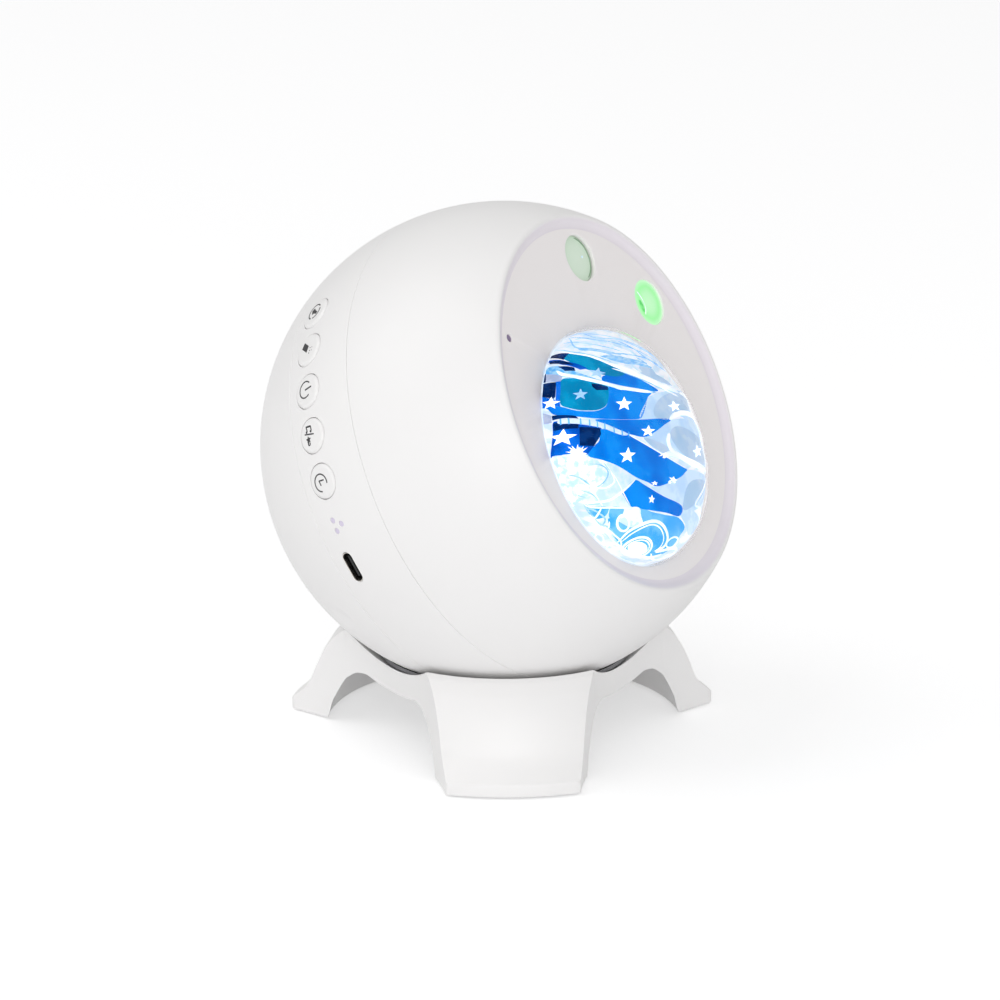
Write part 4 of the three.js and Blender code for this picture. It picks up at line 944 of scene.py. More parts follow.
# %% Ribbons and blocks
# each outline is a flat list x, y, x, y ... in tenths of a millimetre on the film
reliefs = {
    "cap_sky": (sky, 0.04, [
        [-205, 162, -168, 172, -113, 184, -57, 195, -25, 205, -60, 189, -116, 169, -166, 161],
        [-271, 213, -263, 183, -220, 186, -171, 191, -119, 197, -173, 182, -228, 174, -263, 173],
        [-59, 215, -18, 215, 14, 195, 40, 171, 27, 191, 0, 208]]),
    "rib_sky": (light_sky, 0.04, [
        [-360, 132, -330, 116, -290, 89, -238, 79, -189, 83, -101, 98, 4, 131, -16, 117, -115, 85,
         -190, 67, -240, 64, -288, 65, -327, 73, -370, 106]]),
    "cap_mist": (mist, 0.06, [
        [-274, 222, -240, 237, -174, 244, -102, 239, -45, 221, -102, 222, -185, 219, -243, 226],
        [-294, 193, -270, 219, -230, 200, -276, 197],
        [-90, 173, -26, 187, 39, 186, 55, 169, 30, 172, -37, 166]]),
    "cap_ash": (ash, 0.08, [
        [-54, 185, -1, 203, 38, 185, 59, 168, 36, 169, -23, 165]]),
    "teal_streak": (teal, 0.08, [
        [-308, 165, -285, 163, -242, 149, -182, 141, -133, 140, -121, 133, -155, 112, -198, 101,
         -237, 100, -277, 109, -310, 137]]),
    "upper_blue": (azure, 0.06, [
        [-205, 95, -148, 122, -95, 143, -40, 143, 21, 142, -8, 127, -72, 106, -140, 89, -200,
         76]]),
    "band_high": (azure, 0.06, [
        [-191, 65, -141, 75, -81, 98, -14, 118, -28, 100, -41, 65, -53, 35, -73, 14, -157, -20,
         -232, -43, -285, -52, -325, -53, -353, -48, -371, -28, -388, -19, -387, -13, -367, -17,
         -334, -26, -291, -35, -237, -23, -205, -2, -193, 20]]),
    "teal_block": (teal, 0.1, [
        [-331, 59, -301, 65, -269, 67, -240, 64, -196, 68, -189, 56, -193, 20, -208, -3, -238, -21,
         -286, -32, -326, -26, -336, -11, -337, 5]]),
    "band_middle": (azure, 0.08, [
        [-234, -47, -157, -21, -71, 13, 69, 74, 39, 42, -7, 0, -51, -31, -119, -47, -163, -52,
         -205, -50]]),
    "left_royal": (royal, 0.06, [
        [-352, -73, -332, -69, -280, -64, -219, -64, -214, -83, -232, -123, -244, -153, -267, -154,
         -310, -164, -344, -181, -349, -142, -350, -103]]),
    "band_wide": (azure, 0.1, [
        [-218, -71, -163, -57, -116, -50, -45, -50, 65, -50, 145, -45, 138, -59, 119, -80, 68,
         -118, 13, -151, -30, -155, -79, -159, -149, -152, -198, -153, -244, -154, -232, -124,
         -217, -101]]),
    "band_low": (azure, 0.1, [
        [-117, -216, -101, -191, -77, -167, -37, -168, 43, -168, 133, -160, 128, -191, 67, -206,
         11, -222, -66, -241, -89, -237, -106, -225]]),
    "foot_blue": (light_azure, 0.06, [
        [-40, -235, 13, -226, 69, -212, 127, -196, 172, -205, 161, -234, 153, -257, 147, -278, 133,
         -300, 107, -322, 69, -338, 24, -307, -10, -272],
        [-221, -275, -196, -284, -146, -268, -142, -294, -162, -311, -186, -301],
        [-137, -265, -98, -255, -97, -280, -104, -296, -130, -291],
        [-130, -298, -101, -292, -52, -293, -10, -273, 22, -302, 64, -334, 53, -342, 14, -347, -23,
         -352, -83, -335]]),
    # the white field is a painted pool of the lamp's light round the lamp
    "white_field": (lamp_pool, 0.08, [
        [-344, -181, -309, -165, -267, -154, -230, -150, -194, -153, -173, -168, -181, -208, -193,
         -234, -226, -281, -238, -307, -267, -282, -305, -240]]),
    "wavy_field": (mist, 0.06, [
        [-193, -153, -148, -153, -78, -160, -102, -192, -117, -218, -77, -242, -156, -274, -210,
         -284, -200, -251, -181, -207, -173, -168]]),
    "ash_lobes": (ash, 0.08, [
        [-66, 156, 7, 172, 99, 192, 59, 197, -4, 189],
        [-5, 70, 28, 120, 112, 180, 197, 211, 225, 181, 114, 117, 69, 74, 8, 51],
        [-51, -33, 36, -17, 96, -24, 50, -45, -8, -45],
        [66, 26, 108, 69, 213, 88, 277, 81, 259, 19, 171, -8, 104, -3],
        [142, -166, 148, -101, 191, -58, 266, -28, 256, -72, 194, -134]]),
    "pale_lobes": (pale, 0.06, [
        [-37, 82, -9, 114, 104, 181, 203, 214, 220, 166, 243, 128, 103, 102, 61, 71, -64, 17],
        [77, 75, 157, 112, 267, 132, 285, 83, 273, 16, 144, -20, 50, -43, -51, -33, -8, 0, 22, 37],
        [149, -45, 278, -7, 297, -35, 247, -111, 162, -167, 90, -168, -9, -165, 25, -144, 90, -106,
         128, -71],
        [128, -181, 187, -147, 260, -144, 278, -166, 219, -210, 178, -198]]),
}
blocks = {
    "navy": (navy, 0.14, [
        [-340, 187, -324, 179, -293, 161, -308, 145, -313, 137, -333, 161, -345, 177],
        [-351, 157, -314, 131, -289, 112, -317, 116, -353, 146],
        [-332, 114, -291, 102, -289, 91, -316, 91],
        [-374, 105, -370, 109, -374, 72, -381, 73],
        [-382, 69, -344, 56, -348, 7, -354, 1, -388, 20],
        [-246, 58, -224, 63, -192, 65, -191, 56, -231, 42, -244, 48],
        [-357, -52, -333, -52, -294, -51, -284, -57, -324, -61, -354, -66],
        [-280, -81, -219, -68, -214, -83, -232, -123, -272, -132],
        [-351, -75, -323, -74, -284, -72, -282, -85, -321, -93, -349, -98]]),
    "royal": (royal, 0.12, [
        [-344, 58, -331, 58, -336, -11, -347, -4],
        [-351, 167, -306, 126, -251, 105, -275, 97, -321, 118, -355, 157],
        [-388, 21, -367, 7, -336, -11, -334, -26, -367, -16, -388, -12]]),
    "lilac": (lilac, 0.12, [
        [-369, 103, -325, 73, -331, 56, -342, 57, -374, 72],
        [-387, -37, -359, -51, -355, -74, -381, -74]]),
}


def drawn(tenths, columns=2):
    return np.reshape(tenths, (-1, columns)) / 10


for name, (finish, lift, outlines) in reliefs.items():
    finish.on(inlay(f"relief_{name}", [flowing(drawn(line), steps=4) for line in outlines],
                    on_film, lift), "ball")
for name, (finish, lift, outlines) in blocks.items():
    finish.on(inlay(f"block_{name}", [drawn(line) for line in outlines], on_film, lift), "ball")
print("relief", len(reliefs) + len(blocks), "pieces")

# %% [markdown]
# ## Lines, rings and stars of the window
# The ripples bend light into bright edges over the picture, and these are painted highlights:
# long crests, a hooked line and rings where a round part is seen twice. The toothed edge of the
# ring gear runs among them. The stars of the projection are seen on top. Their middle and two half
# axes give each star its size and its lean.

# %% Bright lines
# each line is its width in millimetres and a path in tenths of a millimetre
# the crests are painted highlights, the bright lines that the ripples bend the light into
highlight_lines = [
    (1.1, [-339, 99, -321, 78, -273, 69, -211, 72, -140, 83, -73, 102, -4, 125]),
    (1.3, [-181, 143, -120, 150, -39, 158, 52, 171, 133, 186]),
    (0.5, [-171, 132, -95, 143, -11, 153, 82, 164, 127, 171]),
    (0.5, [-320, 178, -278, 156, -228, 150, -175, 144]),
    (0.3, [-133, 149, -67, 156, 6, 164, 66, 166]),
    (1.5, [133, 186, 206, 209, 220, 166, 241, 129, 266, 87, 297, 28]),
    (1.1, [65, 70, 95, 99, 162, 132, 249, 157, 244, 124]),
    (0.5, [82, 87, 133, 127, 213, 157, 239, 139]),
    (1.5, [63, 28, 58, 0, 76, -22, 128, -20]),
    (1.3, [31, -60, 61, -36, 111, -23, 175, -16, 295, 13]),
    (0.5, [13, -63, 80, -21, 149, -11, 279, 17]),
    (0.6, [297, 3, 253, -59, 208, -123, 252, -118, 268, -166]),
    (0.3, [-116, -50, -45, -50, 65, -50, 145, -45]),
    (0.4, [-249, -222, -213, -231, -174, -223, -151, -198, -167, -176, -193, -157]),
    (0.4, [-256, -241, -239, -236, -201, -246, -161, -271]),
    (0.6, [-224, -275, -215, -281, -188, -268, -151, -250, -121, -219, -77, -165]),
    (0.3, [-167, -176, -140, -194, -109, -220, -78, -242]),
    (0.4, [-221, -275, -197, -286, -133, -265, -40, -235]),
    (0.9, [-58, -352, -54, -309, -23, -275, 21, -247, 64, -243, 102, -262, 107, -287, 91, -311,
          167, -269, 205, -277, 183, -302, 121, -333, 74, -324]),
    (0.4, [-50, -341, -40, -309, -9, -276, 25, -256, 59, -255, 87, -272, 92, -296, 79, -316]),
    (0.6, [-163, -276, -163, -305, -166, -313, -137, -326]),
    (0.5, [-123, -301, -114, -320, -135, -325, -124, -329, -84, -344]),
    (0.5, [-132, -318, -88, -329, -55, -337, -36, -351]),
    (1.2, [-75, -247, -46, -241, -44, -262, -50, -285]),
    (0.6, [-186, -303, -150, -321, -91, -341, -57, -350, -11, -354, 49, -344]),
    (0.7, [2, -354, 40, -348, 86, -336, 127, -305]),
]
shadows = [
    (0.5, [-264, 258, -273, 194, -259, 180, -210, 183, -156, 180, -88, 180]),
    (0.3, [-256, 292, -208, 257, -141, 257, -58, 268, 54, 281, 122, 265]),
    (0.9, [-194, 161, -139, 177, -59, 193, 10, 210]),
    (0.4, [-321, 208, -285, 166, -227, 156, -167, 154]),
    (0.7, [-199, 163, -138, 182, -78, 197, -11, 215]),
    (0.3, [-278, 271, -220, 227, -140, 233, -42, 245, 51, 252]),
    (0.4, [-263, 182, -184, 180, -107, 205, -20, 230, 62, 243]),
    (0.3, [-236, 306, -202, 236, -120, 254, -26, 265, 93, 283]),
    (0.3, [-295, 233, -247, 205, -189, 203, -106, 211]),
    (0.4, [-123, 247, -56, 243, -5, 233, 95, 238]),
    (0.4, [-134, 135, -54, 145, 26, 154, 107, 173]),
    (0.4, [-239, -175, -201, -168, -177, -179, -181, -207, -206, -237]),
    (0.3, [-198, -158, -167, -176, -146, -192]),
    (0.4, [-283, -217, -250, -217, -213, -231]),
    (0.4, [-238, -249, -201, -250, -174, -265, -202, -281]),
    (0.3, [-234, -264, -234, -266, -214, -264]),
    (0.6, [-216, -279, -192, -298, -157, -315, -122, -331]),
    (0.5, [-196, -294, -183, -289, -139, -299, -132, -323]),
    (0.6, [-148, -320, -109, -320, -76, -338]),
    (0.5, [-141, -323, -100, -340, -47, -350, -19, -355]),
]
# each ring is its middle, two half axes and its width, all in tenths of a millimetre
rings = drawn([
    -81, -291, 12, 13, -18, 15, 7,
    15, -332, 14, 36, -45, 2, 7,
    15, -332, 13, 28, -36, 1, 4,
    136, -264, 14, 19, -21, 0, 5,
    -47, -380, 5, 7, -22, 12, 6,
    -107, -366, 6, 10, -17, 12, 4], 7)


def open_lines(table):
    return [(flowing(drawn(path), closed=False), width, False) for width, path in table]


lines = open_lines(highlight_lines) + [(ellipse(*ring[:6].reshape(3, 2)), ring[6], True) for ring in rings]
sky.on(strands("window_shadows", open_lines(shadows), on_film, 0.08, 0.3), "ball")
highlight_glow.on(strands("window_highlights", lines, on_film, 0.1, 0.4), "ball")

gear_line = open_lines([(1.5, [
    -340, -74, -323, -70, -279, -65, -241, -61, -205, -57, -156, -56, -116, -50])])
mist.on(strands("gear_edge", gear_line, on_film, 0.12, 0.25), "ball")
teeth = [stroke([point + (-0.1, 0.75), point + (0.15, -0.85)], 0.22)
         for point in gear_line[0][0][4::4]]
light_azure.on(inlay("gear_gaps", teeth, on_film, 0.32), "ball")
print("crests and rings", len(lines))

# %% Stars and lamp
# each star is its middle, its side and its up, in tenths of a millimetre
stars = drawn([
    -320, -117, 38, 6, -1, 25,
    -117, -112, 31, 12, 1, 24,
    -133, 35, 33, 13, 1, 22,
    -34, -7, 32, 13, 3, 19,
    -361, -12, 27, -5, 3, 20,
    95, 124, 33, 18, -6, 14,
    210, 37, 30, 19, -4, 18,
    -6, -196, 13, 4, -1, 12,
    80, -105, 20, 4, 2, 10,
    -1, -148, 14, 5, -1, 6,
    64, -119, 7, 3, 0, 6], 6)
blue_stars = drawn([-281, 15, 22, 6, 1, 18, -224, 98, 28, 4, 7, 19], 6)
for finish, name, places in ((blaze, "projected_stars", stars), (sky, "blue_stars", blue_stars)):
    shapes = [star(*place.reshape(3, 2)) for place in places]
    finish.on(inlay(name, shapes, on_film, 0.26), "ball")

BURST_RAYS, BURST_MIDDLE, BURST_WAIST, BURST_FLAT = 22, (-27.4, -15.5), 1.7, 0.85
ray = np.arange(BURST_RAYS)
tips = 2.6 + 0.9 * np.sin(ray * 2.4) + 0.6 * np.sin(ray * 5.1)
turn = np.linspace(0, 2 * np.pi, 2 * BURST_RAYS, endpoint=False)
reach = np.where(np.arange(2 * BURST_RAYS) % 2, BURST_WAIST, np.repeat(tips, 2))
burst = np.stack([BURST_MIDDLE[0] + reach * np.cos(turn),
                  BURST_MIDDLE[1] + BURST_FLAT * reach * np.sin(turn)], axis=1)
blaze.on(inlay("lamp_burst", [burst, ellipse((1.4, -33.2), (1.5, 1.9), (-3.1, 0.5))], on_film,
               0.24), "ball")
print("stars", len(stars) + len(blue_stars))

# %% [markdown]
# ## Laser windows and the infrared eye
# Two small windows sit in recesses over the big one. The left one is a pale green pane, and a
# beam leaves through the right one, which makes it glow from the middle. The colour is a ramp on
# the distance from the pane's own middle, so it belongs to the pane and not to the view.

# %% Laser windows
PANE_LOW, PANE_HIGH = 36.7, PANEL_FRONT - LASER_SETBACK
BOSS, BOSS_EDGE, PANE_STEP = LASER_RADIUS - LASER_LIP - 0.02, PANEL_FRONT - 0.55, PANE_HIGH - 0.05


def pane_finish(name, side, stops, glow, roughness):
    """Colours by distance from the pane's middle, given as shares of its radius."""
    finish = Finish(name, "green_window", shade(stops[0][1]), roughness, Emission_Strength=glow)
    away = finish.away([side * LASER_SIDE, LASER_UP, PANE_HIGH])
    share = away / (LASER_RADIUS * MM) + (finish.noise(0.002) - 0.5) * 0.08
    tint = finish.node("ShaderNodeValToRGB", {"stops": [(s, shade(c)) for s, c in stops]},
                       {"Fac": share})
    return finish.set({"Base Color": tint, "Emission Color": tint})


def on_pane(side, height):
    """A ground that is the face of one pane, measured from its middle."""
    def ground(flat, lift):
        x, y = flat[:, 0] + side * LASER_SIDE, flat[:, 1] + LASER_UP
        return in_ball(np.stack([x, y, height + lift + 0 * x], axis=1))
    return ground


panes = {
    # the left pane's glow is painted light that makes up for the shadow in its recess; its colour
    # darkens towards the rim
    "left": (-1, PANE_HIGH, 0.0, pane_finish("pale_pane", -1, [
        (0.0, (208, 224, 208)), (0.6, (204, 222, 204)), (1.0, (192, 212, 192))], 0.16, 0.45)),
    "right": (1, BOSS_EDGE, 0.35, pane_finish("lit_pane", 1, [
        (0.0, (196, 250, 198)), (0.45, (184, 249, 188)), (0.72, (158, 246, 162)),
        (0.9, (186, 250, 190)), (1.0, (212, 254, 216))], 0.24, 0.12)),
}
for name, (side, edge, rise, finish) in panes.items():
    top = [(BOSS * math.cos(a), edge + rise * math.sin(a)) for a in np.linspace(0, np.pi / 2, 16)]
    shape = rounded([((0, PANE_LOW), 0), ((LASER_RADIUS, PANE_LOW), 0.1),
                     ((LASER_RADIUS, PANE_STEP), 0.05), ((BOSS, PANE_STEP), 0), (top, 0)])
    finish.dress(f"laser_pane_{name}", turned(shape, 96, (side * LASER_SIDE, LASER_UP)),
                 [f"laser_window_{name}"])

left_pane, right_pane = on_pane(-1, PANE_HIGH), on_pane(1, BOSS_EDGE)
shade_green = lit("green_shade", "green_window", (128, 158, 130), (150, 178, 150), 0.05)
leaf_green = lit("leaf_green", "green_window", (104, 216, 116), (136, 232, 144), 0.2, 0.001)
inner_edge = ellipse((0, 0), (6.15, 0), (0, 6.15), 40, -35, 105)
shade_green.on(strands("pane_shade", [(inner_edge, 0.5, False)], left_pane, 0.0, 0.3), "ball")
# a painted highlight on the left pane
mist.on(inlay("pane_spot", [ellipse((2.4, 1.8), (0.3, 0), (0, 0.4), 20)], left_pane, 0.03, 0.06),
        "ball")
leaf_green.on(inlay("pane_leaf", [ellipse((-3.1, -2.5), (1.2, -1.4), (-0.5, -0.5), 32)],
                    right_pane, 0.36, 0.06), "ball")
glint = open_lines([(0.35, [-54, 12, -31, -2, -15, -23, -14, -46])])
highlight_glow.on(strands("pane_glint", glint, right_pane, 0.28, 0.3), "ball")

EYE_LOW, eye_side = PANEL_FRONT - 0.95, EYE_RADIUS - 0.03
violet_glass = moulded("violet_glass", "black_plastic", (142, 127, 156), (128, 112, 146), 0.2)
eye_shape = rounded([((0, EYE_LOW), 0), ((eye_side, EYE_LOW), 0),
                     ((eye_side, PANEL_FRONT - 0.3), 0.15), ((0, PANEL_FRONT - 0.15), 0)])
violet_glass.dress("infrared_eye", turned(eye_shape, 32, (-EYE_SIDE, 0)))
print("laser panes", len(panes))

# %% [markdown]
# ## Signs on the buttons
# The signs are printed in dark grey: a picture in a ring, a projector with rays, the power sign,
# a note over a flower and a clock. Each is drawn in the button's own millimetres, x along the row
# and y to the rear, with pen strokes and small filled shapes.

# %% Signs
PEN = 0.19


def on_button(angle):
    """A ground that is the top of one button."""
    def ground(flat, lift):
        x, y = flat[:, 0], flat[:, 1]
        return in_ball(side_place(angle, BUTTON_HEIGHT, x, y,
                                  sphere_over(BUTTON_HEIGHT, x, y) + BUTTON_PROUD + lift))
    return ground


def dot(x, y, radius, steps=14, start=0, end=360):
    return ellipse((x, y), (radius, 0), (0, radius), steps, start, end)


def open_ring(x, y, radius, start, end):
    return stroke(dot(x, y, radius, 32, start, end), PEN)


def pen(x1, y1, x2, y2, weight=1.0):
    return stroke([(x1, y1), (x2, y2)], PEN * weight)


def petals(x, y, radius, count=5):
    """A round shape whose radius swells count times: r (1 + 0.3 cos(count t))."""
    t = np.linspace(0, 2 * np.pi, 40, endpoint=False)
    r = radius * (1 + 0.3 * np.cos(count * t))
    return np.stack([x + r * np.cos(t), y + r * np.sin(t)], axis=1)


signs = {
    "scene": [open_ring(0.2, 0.1, 2.3, -60, 150), open_ring(0.2, 0.1, 2.3, 175, 275),
              drawn([11, 13, 15, 3, 5, -3, -7, -14, -12, -8, -5, 1, -6, 10])],
    "light": [drawn([26, 15, 7, -5, -11, 3, 10, 25]), dot(-0.2, -1.2, 0.16),
              dot(-1.0, -1.0, 0.16), dot(-1.7, -0.8, 0.16), dot(-0.3, -2.0, 0.13),
              dot(-1.2, -1.8, 0.13)],
    "power": [open_ring(0.4, 0.4, 2.3, -50, 216), pen(0.3, 0.4, 0.45, -2.1, 1.2)],
    "mode": [pen(2.7, 1.5, 2.5, -0.4, 1.3), pen(2.6, 1.4, 1.4, 1.2), pen(2.5, -0.4, 1.2, -0.5),
             dot(1.3, 1.5, 0.36), dot(1.1, -0.2, 0.36), pen(0.9, 2.4, 0.1, -1.2),
             petals(-0.85, 1.2, 0.72), open_ring(-2.0, 1.2, 0.38, 0, 300)],
    "timer": [open_ring(-0.3, 0.4, 2.35, -104, 170), pen(0.2, -0.9, 0.3, 0.9),
              pen(0.3, 0.9, -1.0, 0.6)],
}
ink = moulded("sign_ink", "black_plastic", (46, 45, 47), (56, 55, 57), 0.5)
for name, angle in zip(BUTTON_NAMES, button_angles):
    ink.on(inlay(f"sign_{name}", signs[name], on_button(angle), 0.03, 0.06), f"{name}_button")
print("signs", list(signs))

# %% [markdown]
# ## Finishes of the parts inside
# The parts inside come straight from the frame, and each takes a finish of its record slot: a
# solder mask with tracks, drawn and turned metals, moulded plastics, pressed paper. Stretching
# the noise along one axis gives the lines that drawing or turning leaves in metal.

# %% Finishes of the inside
def metal(name, slot, colour, size, scale, roughness):
    """A metal whose tone and gloss change along fine lines."""
    finish = Finish(name, slot, shade(colour), roughness, Metallic=1.0)
    line = finish.noise(size, detail=4.0, scale=scale)
    darker = (*(0.85 * c for c in shade(colour)[:3]), 1)
    finish.set({"Roughness": roughness - 0.08 + line * 0.2,
                "Base Color": finish.mix(line, shade(colour), darker)})
    return finish.bump(line, 0.00001)


aluminium = metal("extruded_aluminium", "sink_aluminium", (206, 208, 211), 0.0008, (1, 1, 0.08),
                  0.34)
brass = metal("turned_brass", "laser_brass", (196, 164, 96), 0.0006, (0.1, 1, 1), 0.26)
enamel = moulded("teal_enamel", "teal_paint", (20, 142, 156), (16, 126, 144), 0.28,
                 Coat_Weight=0.4)
blue_plastic = moulded("deep_blue_plastic", BLUE_SLOT, (6, 92, 212), (4, 80, 198), 0.24)
phosphor = lit("phosphor", "led_cream", (255, 250, 222), (250, 240, 190), 0.8, 0.0006)
fibre = Finish("pressed_paper", "cone_paper", shade((52, 52, 55)), 0.85)
fibres = fibre.noise(0.0004, detail=5.0, scale=(1, 3, 1))
fibre.set({"Base Color": fibre.mix(fibres, shade((44, 44, 47)), shade((66, 66, 69)))})
fibre.bump(fibres, 0.00004)
board = Finish("solder_mask", "board_green", shade((24, 104, 62)), 0.3, Coat_Weight=0.5)
tracks = board.node("ShaderNodeTexBrick", {"offset": 0.5}, {
    "Vector": board.place(), "Scale": 220.0, "Mortar Size": 0.03, "Color1": (0, 0, 0, 1),
    "Color2": (0.3, 0.3, 0.3, 1), "Mortar": (1, 1, 1, 1)})
board.set({"Base Color": board.mix(tracks, shade((20, 92, 54)), shade((64, 150, 92)))})
board.bump(tracks, 0.00003)

inner_finishes = {finish.slot: finish for finish in (
    white_plastic, panel_plastic, rubber, black_plastic, steel, enamel, aluminium, phosphor, brass,
    board, blue_plastic, clear, fibre, panes["right"][-1])}
for node in frame["nodes"].values():
    for entry in node.material_slots:
        entry.material = inner_finishes[entry.material.name.split(".")[0]].material
print("finishes on", len(frame["nodes"]), "nodes")

# %% [markdown]
# ## The stand
# At every direction round the stand its section is bounded above by the cradle and the back of an
# arm, and below by the arch. Three big round scoops limit how far out it reaches, which leaves
# three arms. So the surface is one section, cut off at that reach and carried round the circle,
# with a small arc at each corner. The crest keeps its own row, so its highlight stays clean.

# %% Stand
SEAT_THICK = 1.0
STAND_HEIGHT, FOOT_REACH, FOOT_HALF, WAIST, BORE = 28.5, 60.8, 18.1, 36.5, 25.5
CREST, CRADLE = 44.0, BALL + FIT + SEAT_THICK + FIT
CENTRE_HEIGHT = STAND_HEIGHT + math.sqrt(CRADLE ** 2 - CREST ** 2)
UNDERSIDE = CENTRE_HEIGHT - math.sqrt(CRADLE ** 2 - BORE ** 2) - 1.35
ARCH_HEIGHT, ARCH_REACH = UNDERSIDE + 1.5, 39.3
TOE_HEIGHT, TOE_LENGTH, TOE_DEPTH, PAD_SHOWS = 4.0, 5.3, 11.4, 0.5
TOE_INNER, SHOULDER = FOOT_REACH - TOE_DEPTH, FOOT_REACH - TOE_LENGTH


def smooth_line(points, passes, samples=400):
    """A polyline sampled evenly in x and averaged with its neighbours, ends kept."""
    points = np.asarray(points, float)
    x = np.linspace(points[0, 0], points[-1, 0], samples)
    y = np.interp(x, points[:, 0], points[:, 1])
    for _ in range(passes):
        y[1:-1] = (y[:-2] + 2 * y[1:-1] + y[2:]) / 4
    return x, y


back_shares = [(0, 1), (0.12, 0.95), (0.35, 0.8), (0.6, 0.57), (0.82, 0.3), (0.95, 0.1)]
back_line = [(CREST + (SHOULDER - CREST) * out, 2 * TOE_HEIGHT
              + (STAND_HEIGHT - 2 * TOE_HEIGHT) * up) for out, up in back_shares]
toe_line = [(SHOULDER + TOE_LENGTH * 0.22, TOE_HEIGHT * 1.9),
            (SHOULDER + TOE_LENGTH * 0.8, TOE_HEIGHT * 1.2), (FOOT_REACH, TOE_HEIGHT)]
arch_shares = [(1, 1), (0.78, 0.96), (0.5, 0.79), (0.27, 0.52), (0.1, 0.3), (0, 0)]
arch_line = [(TOE_INNER - (TOE_INNER - ARCH_REACH) * inward, max(PAD_SHOWS, ARCH_HEIGHT * up))
             for inward, up in arch_shares]
back_x, back_z = smooth_line(back_line + toe_line, 60)
arch_x, arch_z = smooth_line([(WAIST, UNDERSIDE), *arch_line, (FOOT_REACH, PAD_SHOWS)], 20)


def upper(r):
    """Height of the stand's top: the cradle's sphere inside the crest, the arm's back outside."""
    cradle = CENTRE_HEIGHT - np.sqrt(CRADLE ** 2 - np.minimum(r, CREST) ** 2)
    return np.where(r <= CREST, cradle, np.interp(r, back_x, back_z))


def lower(r):
    """Height of the underside: flat under the ring, then the arch down to the foot."""
    return np.where(r <= WAIST, UNDERSIDE, np.interp(r, arch_x, arch_z))


foot_angle = math.degrees(math.asin(FOOT_HALF / FOOT_REACH))
corner_up = FOOT_REACH * cos_sin(60 - foot_angle)[0]
SCOOP_AWAY = (FOOT_REACH ** 2 - WAIST ** 2) / (2 * (corner_up - WAIST))
SCOOP_RADIUS = SCOOP_AWAY - WAIST


def reach_at(theta):
    """How far out the stand goes: to the scoops' circles or the round of the feet."""
    phi = np.abs((theta + np.pi / 3) % (2 * np.pi / 3) - np.pi / 3)
    square = (SCOOP_AWAY * np.cos(phi)) ** 2 - SCOOP_AWAY ** 2 + SCOOP_RADIUS ** 2
    near = SCOOP_AWAY * np.cos(phi) - np.sqrt(np.clip(square, 0, None))
    return np.where((square > 0) & (near < FOOT_REACH), near, FOOT_REACH)


def corner_arc(before, corner, after, size):
    """Rows of a quadratic blend that rounds a corner, for all directions at once."""
    def step_to(other):
        way = other - corner
        length = np.linalg.norm(way, axis=-1, keepdims=True)
        return corner + way / np.maximum(length, TINY) * np.minimum(size, length * 0.4)
    return bend(step_to(before), corner, step_to(after), 5)


def stand_grid(steps=720):
    """Sections (radius, height) for every direction, then (r cos, r sin, z)."""
    theta = np.linspace(0, 2 * np.pi, steps, endpoint=False)
    reach = reach_at(theta)
    crest = np.minimum(CREST, reach)
    ease = (1 - np.cos(np.linspace(0, np.pi, 40)))[:, None] / 2

    def line(start, end, height, share=ease):
        r = start + (end - start) * share
        return np.stack([r, height(r)], axis=-1)

    over, behind = line(BORE, crest, upper), line(crest, reach, upper)
    under = line(BORE, reach, lower, np.linspace(0, 1, 60)[:, None])[::-1]
    top_edge, low_edge, inner_low, inner_top = behind[-1], under[0], under[-1], over[0]
    scooped = (reach < CREST + 0.5)[:, None]
    crest_round = corner_arc(over[-6], over[-1], np.where(scooped, low_edge, behind[4]), 0.8)
    arm = np.concatenate([behind[4:-3], corner_arc(behind[-4], top_edge, low_edge, 0.7)])
    rows = np.concatenate([
        corner_arc(inner_low, inner_top, over[6], 0.4),
        over[5:-5],
        crest_round,
        np.where(scooped, crest_round[-1], arm),
        corner_arc(np.where(scooped, crest_round[-1], top_edge), low_edge, under[3], 0.5),
        under[2:-2],
        corner_arc(under[-3], inner_low, inner_top, 0.3),
    ])
    r, z = rows[..., 0], rows[..., 1]
    # the arms lie at 60, 180 and 300 degrees from the front, which is -y
    return np.stack([r * np.sin(theta), -r * np.cos(theta), z], axis=-1)


stand = grid_piece("stand_smooth", in_room(stand_grid()), close_rows=True)
white_plastic.on(smooth(stand, STAND_CREASE), "stand", ["stand"])
print("stand", len(stand.data.polygons), "faces, scoop radius", round(SCOOP_RADIUS, 1))

# %% [markdown]
# ## Seat ring and foot pads
# A soft ring in the cradle carries the ball, and three pads under the feet keep the stand from
# sliding. Both are turned or drawn with rounded edges and take a fine grey rubber.

# %% Seat ring and pads
SEAT_INNER, SEAT_OUTER = BALL + FIT, BALL + FIT + SEAT_THICK
SEAT_REACH, SEAT_EDGE = (27.5, 35), 0.25
PAD_LENGTH, PAD_WIDTH, PAD_THICK = 24.0, 7.0, 1.4


def seat_section():
    """Between two spheres about the ball's centre, from one reach to another."""
    parts = []
    for radius, reaches in ((SEAT_OUTER, SEAT_REACH), (SEAT_INNER, SEAT_REACH[::-1])):
        line = arc(radius, *(-math.degrees(math.acos(reach / radius)) for reach in reaches), 12)
        parts += [(line[0], SEAT_EDGE), (line[1:-1], 0), (line[-1], SEAT_EDGE)]
    return rounded(parts)


seat = grid_piece("seat_ring_smooth", turned(seat_section(), 160) * MM + ball_centre, True)
rubber.on(smooth(seat), "seat_ring", ["seat_ring"])

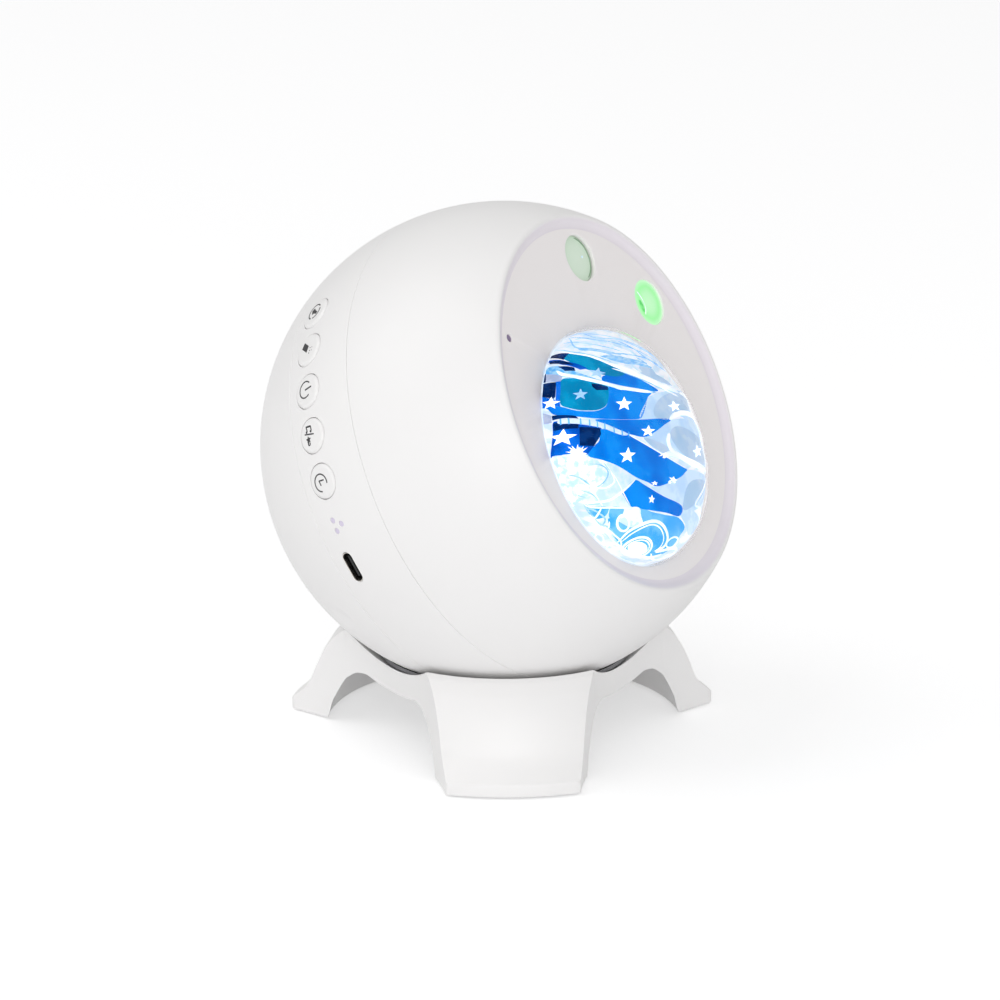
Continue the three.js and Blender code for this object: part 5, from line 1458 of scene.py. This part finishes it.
pad_rows = [(0, 0.0), (PAD_WIDTH / 2 - 0.5, 0.0), (PAD_WIDTH / 2 - 0.15, 0.15),
            (PAD_WIDTH / 2, 0.5), (PAD_WIDTH / 2, PAD_THICK), (0, PAD_THICK)]
radius, z = (np.array(column)[:, None] for column in zip(*pad_rows))
x, y = slot_rows(radius, 48, (PAD_LENGTH - PAD_WIDTH) / 2)
pad_grid, pad_away = np.stack([x, y, z + 0 * x], axis=-1), FOOT_REACH - TOE_DEPTH / 2
for i, arm in enumerate((-60, 60, 180)):
    c, s = cos_sin(arm)
    flat = pad_grid @ turn_about(2, arm).T + np.array([pad_away * s, -pad_away * c, 0])
    pad = grid_piece(f"foot_pad_{i + 1}_smooth", in_room(flat))
    rubber.on(smooth(pad), "stand", [f"foot_pad_{i + 1}"])
print("seat ring and three pads")

# %% [markdown]
# ## Studio
# A pale floor without an edge, a big soft lamp high on the left and a second one behind the
# camera keep the ball nearly without shade. The floor adds a little light of its own for the
# camera alone, so it reads as white paper while the stand's shadow stays.

# %% Camera
CAMERA_AWAY = (-1.07345, -0.55970, 0.35432)
CAMERA_PITCH, CAMERA_TURN, LENS, SENSOR, FAR = 72.998, -62.407, 165.2, 36.0, 50


def placed(name, data, place, pitch, turn):
    """A camera or a lamp at a place, pitched about x and turned about z."""
    made = bpy.data.objects.new(name, data)
    bpy.context.scene.collection.objects.link(made)
    made.location, made.rotation_euler = place, (pitch, 0, turn)
    return made


camera = placed("camera", bpy.data.cameras.new("camera"), ball_centre + np.array(CAMERA_AWAY),
                math.radians(CAMERA_PITCH), math.radians(CAMERA_TURN))
camera.data.lens, camera.data.sensor_width, camera.data.clip_end = LENS, SENSOR, FAR
bpy.context.scene.camera = camera
print("camera at", np.round(camera.location, 4))

# %% Floor, world and lamps
FLOOR, FLOOR_GLOW, GLOW_SHARE, SKY_LEVEL = 6.0, 1.88, 0.25, 0.62
floor = grid_piece("floor", FLOOR * np.array([[(-1, -1, 0), (1, -1, 0)], [(-1, 1, 0), (1, 1, 0)]]),
                   close_columns=False)
paper = Finish("floor_paper", None, (0.9, 0.9, 0.905, 1), 0.9)
glow = paper.node("ShaderNodeEmission", {}, {"Color": (1, 1, 1, 1), "Strength": FLOOR_GLOW})
seen = sum(paper.node("ShaderNodeLightPath", out=f"Is {kind} Ray")
           for kind in ("Camera", "Glossy", "Transmission"))
surface = Socket(paper, paper.shader.outputs[0])
mixed = paper.node("ShaderNodeMixShader", {}, {0: (seen > 0.5) * GLOW_SHARE, 1: surface, 2: glow})
paper.feed(paper.tree.nodes["Material Output"].inputs["Surface"], mixed)
paper.on(floor)

world = bpy.data.worlds.new("studio")
bpy.context.scene.world = world
world.use_nodes = True
sky_nodes, sky_links = world.node_tree.nodes, world.node_tree.links
sky_box, sky_level = sky_nodes["Background"], sky_nodes.new("ShaderNodeMapRange")
sky_box.inputs["Color"].default_value = (1, 1, 1, 1)
sky_level.inputs["To Min"].default_value, sky_level.inputs["To Max"].default_value = SKY_LEVEL, 1.0
sky_rays = sky_nodes.new("ShaderNodeLightPath")
sky_links.new(sky_rays.outputs["Is Camera Ray"], sky_level.inputs["Value"])
sky_links.new(sky_level.outputs["Result"], sky_box.inputs["Strength"])


def lamp(name, place, target, size, power):
    """A square soft lamp that faces a point."""
    way = np.array(target, float) - np.array(place, float)
    light = placed(name, bpy.data.lights.new(name, "AREA"), place,
                   math.atan2(math.hypot(way[0], way[1]), -way[2]),
                   math.atan2(way[1], way[0]) - math.pi / 2)
    light.data.size, light.data.energy = size, power


lamp("key", (-0.6, 0.9, 1.6), (0, 0, 0.05), 1.4, 7.4)
lamp("front", (-1.6, -0.9, 0.6), (0, 0, 0.08), 1.0, 11)

bpy.context.scene.view_settings.view_transform = "Standard"
